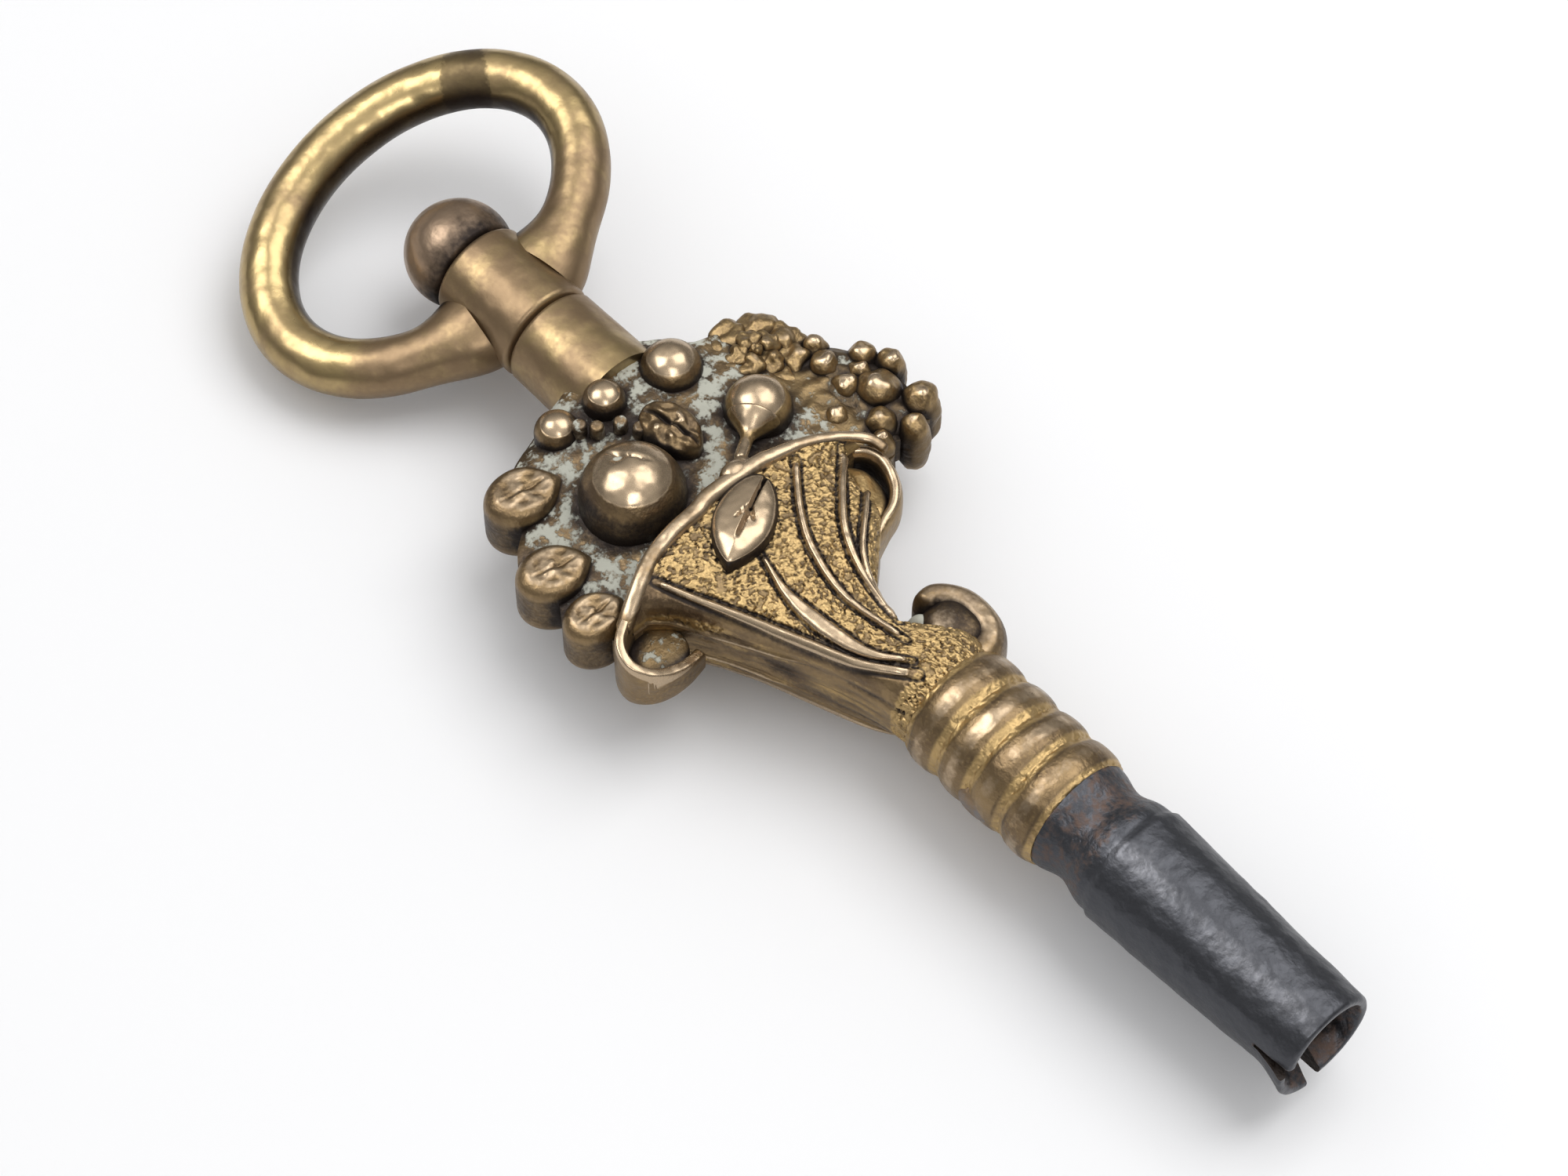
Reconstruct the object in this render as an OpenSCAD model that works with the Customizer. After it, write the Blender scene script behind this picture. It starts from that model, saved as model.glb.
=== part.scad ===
// Winding key of watch size: a steel pipe, a gilt horn of plenty and a bow that swivels on a post.
// The key lies on its back. X is its axis and points out of the pipe's mouth, where the origin is.

/* [Pipe] */
// Length of the tapered barrel, from mouth to shoulder
barrel_l = 7.95; // [5:0.05:12]
// Diameter of the barrel at its mouth
mouth_d = 3.3; // [3.1:0.05:3.8]
// Diameter of the barrel at its shoulder
shoulder_d = 4; // [3.6:0.05:4.6]
// Width of the square socket across its flats
socket_w = 2; // [1:0.05:2.1]
// Depth of the square socket
socket_depth = 6.5; // [3:0.1:7]
// Length of the hollow groove behind the shoulder
groove_l = 2.15; // [1.2:0.05:3]
// Depth of the hollow groove
groove_depth = 0.28; // [0.1:0.02:0.5]
// Diameter of the tang that sits in the ferrule
tang_d = 2.3; // [1.8:0.1:2.6]
// Length of the tang
tang_l = 4; // [3.2:0.1:4.4]
// Length of the split in the mouth's wall
split_l = 1.3; // [0.5:0.1:2.5]
// Width of the split
split_w = 0.22; // [0.1:0.02:0.4]

/* [Ferrule] */
// Length of the ribbed ferrule
ferrule_l = 5.3; // [5:0.1:8]
// Diameter of the ferrule over its rings
ferrule_d = 4.1; // [3.8:0.05:4.8]
// Number of rings
ring_count = 4; // [3:1:6]
// Depth of the grooves between the rings
ring_depth = 0.28; // [0.1:0.02:0.35]
// Diameter of the cross pin that holds the tang
pin_d = 1.4; // [0.8:0.1:1.6]
// Distance of the cross pin from the ferrule's front face
pin_inset = 2.3; // [1.6:0.1:2.6]
// Diameter of the spigot that enters the horn
spigot_d = 1.8; // [1.4:0.1:1.9]
// Length of that spigot
spigot_l = 1; // [0.6:0.1:1.1]

/* [Horn] */
// Length of the horn, from ferrule to the middle of its rim
horn_l = 9.2; // [8:0.1:11]
// How far the rim's ends lie back from its middle
rim_bow = 1.5; // [0.5:0.1:2]
// Diameter of the horn's tail
tail_d = 3.6; // [3.5:0.05:3.8]
// Reach of the mouth to the side of the leaves
mouth_left = 5.8; // [5.2:0.1:6.4]
// Reach of the mouth to the side of the grapes
mouth_right = 3.6; // [3.2:0.1:4.4]
// Reach of the throat to the side of the grapes
throat_right = 0.15; // [0.1:0.05:0.6]
// Thickness of the horn at its mouth
mouth_t = 4.9; // [4.2:0.1:5.4]
// Thickness of the struck metal
horn_wall = 0.45; // [0.3:0.05:0.5]
// How far the rim band stands proud
rim_proud = 0.3; // [0.1:0.05:0.4]
// How far the ribs stand proud
rib_h = 0.22; // [0.1:0.02:0.3]
// How far the leaf that hangs over the rim stands proud
leaf_h = 0.45; // [0.3:0.05:0.6]
// Diameter of the scrolls at the ends of the rim
scroll_d = 2; // [1.4:0.1:2.4]
// Height of those scrolls
scroll_t = 3; // [2:0.1:3.6]
// Length of the curl at the tail
curl_l = 2.9; // [2.4:0.1:3.4]
// Width of the curl
curl_w = 2.1; // [1.8:0.1:2.4]
// Height of the curl
curl_t = 2; // [1.2:0.1:2.6]

/* [Fruit] */
// Length of the heap of fruit, from the middle of the rim to the neck
heap_l = 6.6; // [5.6:0.1:9]
// Width of the heap
heap_w = 15; // [13:0.1:17]
// Height of the ground that the fruit lies on, from the parting plane
ground_h = 1.75; // [1.4:0.05:2.1]
// Height of the heap's edge, from the parting plane
edge_h = 0.7; // [0.4:0.05:1]
// Diameter of the apple
apple_d = 3.36; // [2.8:0.02:3.6]
// Diameter of the pear's round end
pear_d = 2.1; // [1.6:0.1:2.4]
// Diameter of the largest berry
berry_d = 2; // [1.6:0.1:2.4]
// Diameter of a grape
grape_d = 1.1; // [0.8:0.05:1.3]
// Radius of the flower
flower_r = 1.5; // [1.2:0.05:1.8]
// Thickness of a leaf
leaf_t = 1.2; // [0.8:0.1:1.6]
// Depth of the notches between the leaves at the heap's edge
lobe_h = 0.8; // [0.3:0.1:1.2]

/* [Swivel] */
// Diameter of the neck and of the collar
neck_d = 3.4; // [3:0.05:3.8]
// Length of the neck that shows
neck_l = 2.3; // [1.5:0.1:4]
// Diameter of the swivel post
post_d = 1.6; // [1.2:0.1:2]
// Length of the collar that turns on the post
collar_l = 3.35; // [2.8:0.05:5]
// Diameter of the domed button on the post's end
button_d = 3.5; // [3:0.05:4]
// Length of the button
button_l = 2.55; // [2.2:0.05:3.5]
// Gap at each end of the collar
end_gap = 0.1; // [0.05:0.01:0.2]
// Gap between the post and the collar's bore, on the radius
turn_gap = 0.05; // [0.02:0.01:0.1]

/* [Bow] */
// Diameter of the bow's wire
wire_d = 1.89; // [1.4:0.05:2.2]
// Width of the oval bow over its wire
bow_w = 13.25; // [11:0.05:16]
// Length of the oval bow over its wire
bow_l = 10.4; // [9.5:0.05:13]
// Angle at which the bow lies at rest
bow_turn = 15; // [0:1:90]

/* [Hidden] */
$fn = 64;

shoulder_x = -barrel_l;
ferrule_x = shoulder_x - groove_l;
tail_x = ferrule_x - ferrule_l;
rim_x = tail_x - horn_l;
heap_x = rim_x - heap_l;
joint_x = heap_x - neck_l;
collar_x = joint_x - end_gap;
button_x = collar_x - collar_l - end_gap;

shoulder_r = shoulder_d / 2;
seat_r = (ferrule_d - ring_depth) / 2;
tang_r = tang_d / 2;
tail_r = tail_d / 2;
neck_r = neck_d / 2;
post_r = post_d / 2;
wire_r = wire_d / 2;
slack = 1;
lip_round = 0.15;
split_angle = 155;
pin_proud = 0.04;
post_blind = 0.9;
fill_gap = 0.01;
rim_seam = 0.03;

// Shapes turned round the key's axis, from points of [place along X, radius]
module turned(points) {
    rotate([0, 90, 0]) rotate_extrude() polygon([for (p = points) [p[1], p[0]]]);
}

// Round bar along X from one place to another
module bar(from, to, r) {
    translate([from, 0, 0]) rotate([0, 90, 0]) cylinder(h = to - from, r = r);
}

// Radius in the hollow between the ferrule and the shoulder, for a share s of its length
function groove_r(s) = seat_r + (shoulder_r - seat_r) * s - groove_depth * sin(180 * s);

module winding_pipe() {
    steps = 10;
    hollow = [for (i = [0 : steps]) [ferrule_x + groove_l * i / steps, groove_r(i / steps)]];
    outline = concat(
        [[ferrule_x, 0]],
        hollow,
        [[-lip_round, mouth_d / 2], [0, mouth_d / 2 - lip_round], [0, 0]]);
    color("dimgray") difference() {
        union() {
            turned(outline);
            bar(ferrule_x - tang_l, shoulder_x, tang_r);
        }
        translate([-socket_depth, -socket_w / 2, -socket_w / 2]) cube([socket_depth + slack, socket_w, socket_w]);
        rotate([split_angle, 0, 0]) translate([-split_l, 0, -split_w / 2]) cube([split_l + slack, mouth_d, split_w]);
        cross_pin(slack);
    }
}

// The cross pin's bar, longer at each end by the given amount
module cross_pin(extra) {
    reach = ferrule_d / 2 + extra;
    translate([ferrule_x - pin_inset, -reach, 0]) rotate([-90, 0, 0]) cylinder(h = 2 * reach, r = pin_d / 2);
}

module pipe_pin() {
    color("gray") cross_pin(pin_proud);
}

module ferrule() {
    steps = 8 * ring_count;
    rings = [for (i = [0 : steps])
        [tail_x + ferrule_l * i / steps, ferrule_d / 2 - ring_depth * (1 - abs(sin(180 * ring_count * i / steps)))]];
    color("goldenrod") difference() {
        union() {
            turned(concat([[tail_x, 0]], rings, [[ferrule_x, 0]]));
            bar(tail_x - spigot_l, tail_x, spigot_d / 2);
        }
        bar(ferrule_x - tang_l, ferrule_x + slack, tang_r);
        cross_pin(slack);
    }
}

// The horn's cross-section at a share s of its length from the tail: reach to each side and half thickness
flare = 1.1;
function smooth(t) = let(u = min(1, max(0, t))) u * u * (3 - 2 * u);
function left_at(s) = tail_r + (mouth_left - flare - tail_r) * pow(s, 1.5) + flare * pow(s, 8);
function right_at(s) = throat_right + (tail_r - throat_right) * (1 - smooth((s - 0.05) / 0.3))
    + (mouth_right - flare - throat_right) * smooth((s - 0.33) / 0.4) + flare * pow(s, 10);
function half_t_at(s) = tail_r + (mouth_t / 2 - tail_r) * s;
function boxy_at(s) = 2 + min(1, 4 * s);
function signed_pow(a, e) = sign(a) * pow(abs(a), e);

// How far the rim's line lies back from its middle, at a place across the key
function rim_back(y) = let(half = (mouth_left + mouth_right) / 2, middle = (mouth_right - mouth_left) / 2)
    rim_bow * min(1, pow((y - middle) / half, 2));

// Point of that cross-section at angle a, moved outwards by grow
function horn_point(s, a, grow) = let(
    middle = (right_at(s) - left_at(s)) / 2,
    half_w = (right_at(s) + left_at(s)) / 2 + grow,
    half_t = half_t_at(s) + grow,
    e = 2 / boxy_at(s),
    y = middle + half_w * signed_pow(cos(a), e))
    [tail_x - horn_l * s + rim_back(y) * pow(s, 4), y, half_t * signed_pow(sin(a), e)];

// A smooth bump of height 1 where d is 0, gone where d reaches w
function bump(d, w) = abs(d) < w ? pow(cos(90 * d / w), 2) : 0;

// Relief on the horn's front face: ribs that spread from the tail, the rim band and the leaf that hangs over it
rib_angles = [[72, 32], [80, 60], [94, 92], [112, 136]];
rib_width = 9;
rim_share = 0.08;
leaf_angle = 84;
leaf_spread = 17;
function rib_relief(s, a) = rib_h * max([for (r = rib_angles) bump(a - r[0] - (r[1] - r[0]) * s, rib_width)]) * min(1, 6 * s);
function rim_relief(s) = rim_proud * bump(1 - s, rim_share);
function leaf_relief(s, a) = leaf_h * bump(s - 0.85, 0.15) * bump(a - leaf_angle - 60 * (0.85 - s), leaf_spread);
function horn_relief(s, a) = max(rib_relief(s, a), rim_relief(s), leaf_relief(s, a));

// Closed skin through rings of equal point counts, whose ends are zipped across
module skin(rings) {
    k = len(rings[0]);
    m = len(rings);
    sides = [for (j = [0 : m - 2], i = [0 : k - 1]) let(n = (i + 1) % k, a = j * k, b = (j + 1) * k)
        each [[a + i, b + n, a + n], [a + i, b + i, b + n]]];
    first = [for (i = [0 : k / 2 - 2]) each [[i, i + 1, k - 2 - i], [i, k - 2 - i, k - 1 - i]]];
    last = [for (f = first) [f[2] + (m - 1) * k, f[1] + (m - 1) * k, f[0] + (m - 1) * k]];
    polyhedron(points = [for (ring = rings) each ring], faces = concat(sides, first, last));
}

// The horn's shells and the filling inside them share these stations along it and steps round half of it
stations = 20;
steps = 26;

// The plain horn, grown by an amount
module horn_form(grow) {
    skin([for (j = [0 : stations]) [for (i = [0 : 2 * steps - 1]) horn_point(j / stations, 180 * i / steps, grow)]]);
}

// Front half of the struck horn: a shell with its relief outside
module struck_horn() {
    skin([for (j = [0 : stations]) let(s = j / stations) concat(
        [for (i = [0 : steps]) let(a = 180 * i / steps) horn_point(s, a, horn_relief(s, a))],
        [for (i = [steps : -1 : 0]) horn_point(s, 180 * i / steps, -horn_wall)])]);
}

module horn_front() {
    color("darkgoldenrod") struck_horn();
}

module horn_back() {
    color("darkgoldenrod") mirror([0, 0, 1]) struck_horn();
}

module solder_fill() {
    color("silver") difference() {
        horn_form(-horn_wall - fill_gap);
        bar(tail_x - spigot_l, tail_x + slack, spigot_d / 2);
    }
}

// Outline of a scroll: a spiral band that winds in round its eye and thins as it goes
module scroll_outline(d, start) {
    bends = 30;
    turns = 0.92;
    band = d * 0.26;
    function edge(i, side) = let(
        s = i / bends,
        a = start + 360 * turns * s,
        r = (d - band) / 2 * (1 - 0.6 * s) + side * band / 2 * (1 - 0.2 * s))
        r * [cos(a), sin(a)];
    polygon(concat([for (i = [0 : bends]) edge(i, 1)], [for (i = [bends : -1 : 0]) edge(i, -1)]));
}

// The curl stands beside the throat and is let into the horn's side by a little
module tail_curl() {
    seat = 0.15;
    off = 0.2 + curl_l / 2;
    color("peru") translate([tail_x - off, right_at(off / horn_l) + curl_w / 2 - seat, -curl_t / 2])
        linear_extrude(curl_t) scale([curl_l / curl_w, 1]) scroll_outline(curl_w, -60);
}

// A rolled end of the rim, on the side of the leaves (-1) or of the grapes (1), let into the flare of the horn's side
module mouth_scroll(side) {
    reach = side < 0 ? mouth_left : mouth_right;
    mirror([0, side < 0 ? 0 : 1, 0]) translate([rim_x + rim_bow + 0.6 * scroll_d, -reach, -scroll_t / 2])
        linear_extrude(scroll_t) scroll_outline(scroll_d, 90);
}

module left_scroll() {
    color("darkgoldenrod") mouth_scroll(-1);
}

module right_scroll() {
    color("darkgoldenrod") mouth_scroll(1);
}

// Place on the heap: u is the share of its length from the rim, v the share of its half width
function on_heap(u, v) = [rim_x - heap_l * u, heap_w / 2 * v];

// The fruit as balls of [place, height of the middle, diameter]
apple = [on_heap(0.36, -0.38), ground_h - 0.45, apple_d];
berries = [
    [on_heap(0.78, 0.18), ground_h - 0.75, berry_d],
    [on_heap(0.8, -0.13), ground_h - 0.4, berry_d * 0.68],
    [on_heap(0.83, -0.34), ground_h - 0.75, berry_d * 0.72]];
pear = [for (s = [0 : 0.25 : 1])
    [on_heap(0.25, 0.29) * (1 - s) + on_heap(0.08, 0.05) * s, ground_h - 0.45 * (1 - s), pear_d * (1 - 0.75 * s)]];
petals = 8;
flower_place = on_heap(0.51, 0.53);
flower = [for (i = [0 : petals])
    [flower_place + (i == 0 ? 0 : flower_r * 0.62) * [cos(360 * i / petals), sin(360 * i / petals)], edge_h, flower_r * 0.75]];
grape_rows = 3;
grapes = [for (row = [0 : grape_rows - 1], i = [0 : row + 1])
    [on_heap(0.28, 0.73) + grape_d * 0.8 * [row, i - row / 2 - 0.5], edge_h, grape_d]];
// The leaves as balls that run along each leaf's midrib, from place to place
leaf_ends = [
    [on_heap(0.58, -0.53), on_heap(0.77, -0.7)],
    [on_heap(0.24, -0.69), on_heap(0.33, -0.85)],
    [on_heap(-0.05, -0.72), on_heap(0.03, -0.84)],
    [on_heap(0.56, 0.04), on_heap(0.27, -0.05)]];
leaves = [for (l = leaf_ends, s = [0 : 0.25 : 1])
    [l[0] * (1 - s) + l[1] * s, edge_h, leaf_t * (1.2 + 0.7 * sin(180 * s))]];
fruit = concat([apple], berries, pear, flower, grapes, leaves);

// Half width of the heap, which draws in to the neck, is lobed by its leaves and rounded at its front corners
lobes = 3;
corner = 0.9;
function heap_half_w(u) = neck_r + (heap_w / 2 - neck_r) * pow(1 - pow(u, 2.6), 0.55)
    - lobe_h * (1 - abs(cos(180 * lobes * u))) * (1 - u) - corner * bump(u, 0.15);

// Height of the ground, and of a ball with a steep skirt under it
skirt = 4;
function ground_at(p, half_w) = edge_h + (ground_h - edge_h) * (1 - pow(p[1] / half_w, 2));
function ball_at(p, b) = let(r = b[2] / 2, q = norm(p - b[0]) / r) b[1] + r * (q < 1 ? sqrt(1 - q * q) : skirt * (1 - q));
function heap_at(p, half_w) = max(ground_at(p, half_w), max([for (b = fruit) ball_at(p, b)]));

// Front half of the fruit, as struck: a relief over the parting plane that starts a solder seam behind the rim's line
module struck_fruit() {
    rows = 26;
    columns = 46;
    function place(u, i) = let(y = heap_half_w(u) * (2 * i / columns - 1))
        [rim_x - rim_seam - (heap_l - rim_seam) * u + rim_back(y) * pow(1 - u, 2), y];
    skin([for (j = [rows : -1 : 0]) let(u = j / rows) concat(
        [for (i = [0 : columns]) let(p = place(u, i)) [p[0], p[1], heap_at(p, heap_half_w(u))]],
        [for (i = [columns : -1 : 0]) let(p = place(u, i)) [p[0], p[1], 0]])]);
}

module fruit_front() {
    color("saddlebrown") struck_fruit();
}

module fruit_back() {
    color("saddlebrown") mirror([0, 0, 1]) struck_fruit();
}

module neck_sleeve() {
    color("darkkhaki") difference() {
        bar(joint_x, heap_x, neck_r);
        bar(joint_x - slack, heap_x + slack, post_r);
    }
}

module swivel_post() {
    color("gray") bar(button_x - post_blind, heap_x, post_r);
}

module stud_button() {
    button_r = button_d / 2;
    flank_l = button_l - button_r;
    color("rosybrown") difference() {
        translate([button_x, 0, 0]) rotate([0, -90, 0]) rotate_extrude() {
            square([button_r, flank_l]);
            translate([0, flank_l]) intersection() {
                circle(r = button_r);
                square(button_r);
            }
        }
        bar(button_x - post_blind, button_x + slack, post_r);
    }
}

// The oval bow: its wire's middle line and where it runs into the collar
half_w = bow_w / 2 - wire_r;
half_l = bow_l / 2 - wire_r;
bow_x = collar_x - collar_l / 2 - half_l;
root_angle = asin(neck_r / half_w);
root_in = 0.4;
function bow_point(t) = [bow_x + half_l * cos(t), half_w * sin(t), 0];
function bow_heading(t) = let(v = [-half_l * sin(t), half_w * cos(t), 0]) v / norm(v);

// Ring of the wire's section round a point of that line, square to its heading
function wire_section(middle, heading) = let(sides = 16, across = [heading[1], -heading[0], 0])
    [for (i = [0 : sides - 1]) middle + wire_r * (cos(360 * i / sides) * across + [0, 0, sin(360 * i / sides)])];

// The straight root of the wire in the collar, on the side of the grapes
module wire_root() {
    root = bow_point(root_angle);
    translate(root - root_in * bow_heading(root_angle)) rotate([0, 0, atan2(bow_heading(root_angle)[1], bow_heading(root_angle)[0])])
        rotate([0, 90, 0]) cylinder(h = neck_d, r = wire_r);
}

module swivel_collar() {
    color("darkkhaki") rotate([bow_turn, 0, 0]) difference() {
        bar(collar_x - collar_l, collar_x, neck_r);
        bar(collar_x - collar_l - slack, collar_x + slack, post_r + turn_gap);
        wire_root();
        mirror([0, 1, 0]) wire_root();
    }
}

module bow_ring() {
    stations = 48;
    turn = 360 - 2 * root_angle;
    start = bow_point(root_angle) - root_in * bow_heading(root_angle);
    end = bow_point(-root_angle) + root_in * bow_heading(-root_angle);
    rings = concat(
        [wire_section(start, bow_heading(root_angle))],
        [for (j = [0 : stations]) let(t = root_angle + turn * j / stations) wire_section(bow_point(t), bow_heading(t))],
        [wire_section(end, bow_heading(-root_angle))]);
    color("darkkhaki") rotate([bow_turn, 0, 0]) skin(rings);
}

winding_pipe();
pipe_pin();
ferrule();
horn_front();
horn_back();
solder_fill();
tail_curl();
left_scroll();
right_scroll();
fruit_front();
fruit_back();
neck_sleeve();
swivel_post();
stud_button();
swivel_collar();
bow_ring();
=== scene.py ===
"""Looks of a winding key: a steel pipe, a gilt horn heaped with fruit, and a brass bow that swivels."""

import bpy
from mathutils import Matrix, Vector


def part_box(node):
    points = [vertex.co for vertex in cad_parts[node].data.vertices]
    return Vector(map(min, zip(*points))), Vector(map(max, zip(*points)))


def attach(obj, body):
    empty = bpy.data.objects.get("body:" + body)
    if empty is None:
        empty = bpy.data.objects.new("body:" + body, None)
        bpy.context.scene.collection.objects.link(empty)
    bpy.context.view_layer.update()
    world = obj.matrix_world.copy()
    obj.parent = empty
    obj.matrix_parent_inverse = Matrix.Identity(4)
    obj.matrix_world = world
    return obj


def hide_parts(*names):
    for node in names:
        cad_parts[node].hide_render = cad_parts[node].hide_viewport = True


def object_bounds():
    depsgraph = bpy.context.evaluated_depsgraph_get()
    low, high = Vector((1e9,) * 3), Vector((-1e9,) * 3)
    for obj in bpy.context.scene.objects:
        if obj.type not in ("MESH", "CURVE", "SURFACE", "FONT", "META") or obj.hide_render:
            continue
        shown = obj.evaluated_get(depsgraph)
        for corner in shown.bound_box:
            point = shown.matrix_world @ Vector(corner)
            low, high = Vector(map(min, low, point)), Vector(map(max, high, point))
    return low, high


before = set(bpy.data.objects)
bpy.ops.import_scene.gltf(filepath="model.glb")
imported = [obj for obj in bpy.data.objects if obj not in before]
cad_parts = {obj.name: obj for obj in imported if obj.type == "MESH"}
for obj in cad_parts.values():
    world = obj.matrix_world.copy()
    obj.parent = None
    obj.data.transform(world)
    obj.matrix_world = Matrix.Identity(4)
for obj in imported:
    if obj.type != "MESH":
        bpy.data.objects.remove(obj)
cad_box = [list(corner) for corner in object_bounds()]

import math

import bmesh
import bpy
import numpy as np
from bpy.props import FloatProperty, FloatVectorProperty, IntProperty, PointerProperty
from mathutils import Matrix, Vector, noise

bl_info = {
    "name": "Winding Key with a Horn of Plenty",
    "version": (1, 0, 0),
    "blender": (4, 5, 0),
    "location": "View3D > Sidebar > Winding Key",
    "description": "Dresses the packed winding key in its relief, metal and wear",
    "category": "Object",
}

MM = 0.001


# Places that the CAD parts give, in millimetres

def reach(node):
    """Lowest and highest corner of a CAD node."""
    low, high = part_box(node)
    return np.array(low) / MM, np.array(high) / MM


FERRULE_X = reach("ferrule")[1][0]
TANG_X = reach("winding_pipe")[0][0]
RIM_X, TAIL_X = (corner[0] for corner in reach("horn_front"))
JOINT_X, HEAP_X = (corner[0] for corner in reach("neck_sleeve"))
COLLAR_LOW_X, COLLAR_HIGH_X = (corner[0] for corner in reach("swivel_collar"))
BUTTON_END_X, BUTTON_X = (corner[0] for corner in reach("stud_button"))
FLOOR_Z = cad_box[0][2] / MM


# Sizes and colours that a user would change

def length(name, description, millimetres):
    """A length property, whose default is given in millimetres."""
    return FloatProperty(name=name, description=description, default=millimetres * MM,
                         unit="LENGTH", precision=5)


def angle(name, description, degrees):
    """An angle property, whose default is given in degrees."""
    return FloatProperty(name=name, description=description, default=math.radians(degrees), subtype="ANGLE")


def power(name, description, watts):
    """The power of a lamp."""
    return FloatProperty(name=name, description=description, default=watts, min=0, unit="POWER")


def colour(name, description, red, green, blue):
    """A colour property, whose default is given as it looks on a screen, from 0 to 255."""
    screen = np.array([red, green, blue]) / 255
    linear = np.where(screen > 0.04045, ((screen + 0.055) / 1.055) ** 2.4, screen / 12.92)
    return FloatVectorProperty(name=name, description=description, default=linear.tolist(),
                               subtype="COLOR", min=0, max=1)


class WindingKeyPipe(bpy.types.PropertyGroup):
    """Sizes of the steel pipe, its pin and the ferrule that holds it."""
    mouth_radius: length("Mouth radius", "Outside radius of the pipe at its mouth", 1.65)
    shoulder_radius: length("Shoulder radius", "Outside radius of the pipe at its shoulder", 2.0)
    shoulder_place: length("Shoulder", "Distance of the shoulder from the mouth", 7.95)
    bell_radius: length("Bell radius", "Inside radius of the worn mouth", 1.38)
    socket_half: length("Socket", "Half the width of the square socket", 1.0)
    socket_depth: length("Socket depth", "Depth of the square socket", 6.5)
    split_length: length("Split", "Length of the split in the mouth", 1.3)
    split_width: length("Split width", "Width of the split", 0.22)
    tongue_bend: length("Tongue bend", "How far the tongue beside the split is bent outwards", 0.34)
    crest_radius: length("Ring crest", "Radius of the ferrule over its rings", 2.05)
    hollow_radius: length("Ring hollow", "Radius of the ferrule between its rings", 1.9)
    rings: IntProperty(name="Rings", description="Number of rings on the ferrule", default=4, min=3, max=6)


class WindingKeyHorn(bpy.types.PropertyGroup):
    """Sizes of the horn's relief."""
    rib_height: length("Rib height", "How far the ribs stand proud", 0.15)
    matting_depth: length("Matting depth", "Depth of the punched ground between the ribs", 0.07)
    rim_half: length("Rim bead", "Half the width of the bead along the rim", 0.26)
    leaf_height: length("Leaf height", "Height of the hanging leaf over the parting plane", 2.8)
    band_half: length("Scroll band", "Half the thickness of the scrolls' bands", 0.19)


class WindingKeyFruit(bpy.types.PropertyGroup):
    """Sizes of the fruit."""
    apple_radius: length("Apple", "Radius of the apple", 1.66)
    pear_radius: length("Pear", "Radius of the pear's round end", 1.08)
    berry_radius: length("Berry", "Radius of the largest berry", 1.0)
    ground_height: length("Ground", "Height of the ground over the parting plane at its middle", 1.25)
    edge_height: length("Edge", "Height of the ground at its edge", 0.5)


class WindingKeyBow(bpy.types.PropertyGroup):
    """Sizes of the neck, the button and the bow."""
    neck_radius: length("Neck", "Radius of the neck and of the collar", 1.7)
    button_radius: length("Button", "Radius of the domed button", 1.75)
    bore_radius: length("Bore", "Radius of the collar's bore", 0.85)
    wire_radius: length("Wire", "Radius of the bow's wire", 0.944)
    half_width: length("Half width", "Half the width of the bow, to the middle of its wire", 5.68)
    half_length: length("Half length", "Half the length of the bow, to the middle of its wire", 4.255)
    turn: angle("Turn", "Angle at which the bow lies at rest", 15)


class WindingKeyColours(bpy.types.PropertyGroup):
    """Colours of the finishes."""
    gold: colour("Gilding", "Bright gilding on the punched ground", 174, 147, 101)
    tawny: colour("Tawny brass", "Brass under a thin brown film", 138, 116, 84)
    film: colour("Film", "Brass under a thick brown film", 98, 81, 62)
    # Also painted shade in hollows, on the fruit's lower sides, inside the bow's wire and in the pipe's
    # socket
    brown: colour("Patina", "Dark patina in the corners", 40, 31, 26)
    bare: colour("Bare brass", "Brass worn bare on the high spots", 178, 157, 130)
    crust: colour("Crust", "Pale crust on the ground between the fruit", 188, 188, 175)
    brass: colour("Aged brass", "Aged brass of the bow", 174, 152, 108)
    toning: colour("Toning", "Brown toning on the aged brass", 134, 112, 85)
    copper: colour("Button metal", "Reddish metal of the button", 164, 141, 118)
    steel: colour("Oxidised steel", "Dark steel of the pipe", 72, 73, 77)
    # Rubbed steel, also the colour of the painted highlight along the barrel
    worn_and_sheen_steel: colour("Worn steel", "Steel rubbed bright", 124, 124, 128)
    rust: colour("Rust", "Rust in the pipe's groove", 104, 80, 66)
    grey_steel: colour("Grey steel", "Steel of the pin and of the post", 120, 118, 120)
    solder: colour("Solder", "Soft solder that fills the horn", 150, 150, 148)


class WindingKeyStage(bpy.types.PropertyGroup):
    """Floor, light and camera."""
    floor: colour("Floor", "Colour of the floor", 248, 248, 249)
    sky: FloatProperty(name="Sky", description="Strength of the light from all round", default=0.75, min=0)
    roof_power: power("Roof lamp", "Power of the wide lamp overhead", 0.46)
    front_power: power("Front lamp", "Power of the small lamp in front", 0.24)
    side_power: power("Side lamp", "Power of the lamp beside the bow", 0.6)
    camera_place: FloatVectorProperty(name="Camera", description="Place of the camera",
                                      default=(34.953 * MM, -52.93 * MM, 118.51 * MM),
                                      subtype="TRANSLATION", unit="LENGTH")
    azimuth: angle("Azimuth", "Turn of the camera from the front", 47.46)
    elevation: angle("Elevation", "Height of the camera as an angle", 57.03)
    lens: FloatProperty(name="Lens", description="Focal length on a 36 mm frame", default=108, unit="CAMERA")


# Shader values

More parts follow.
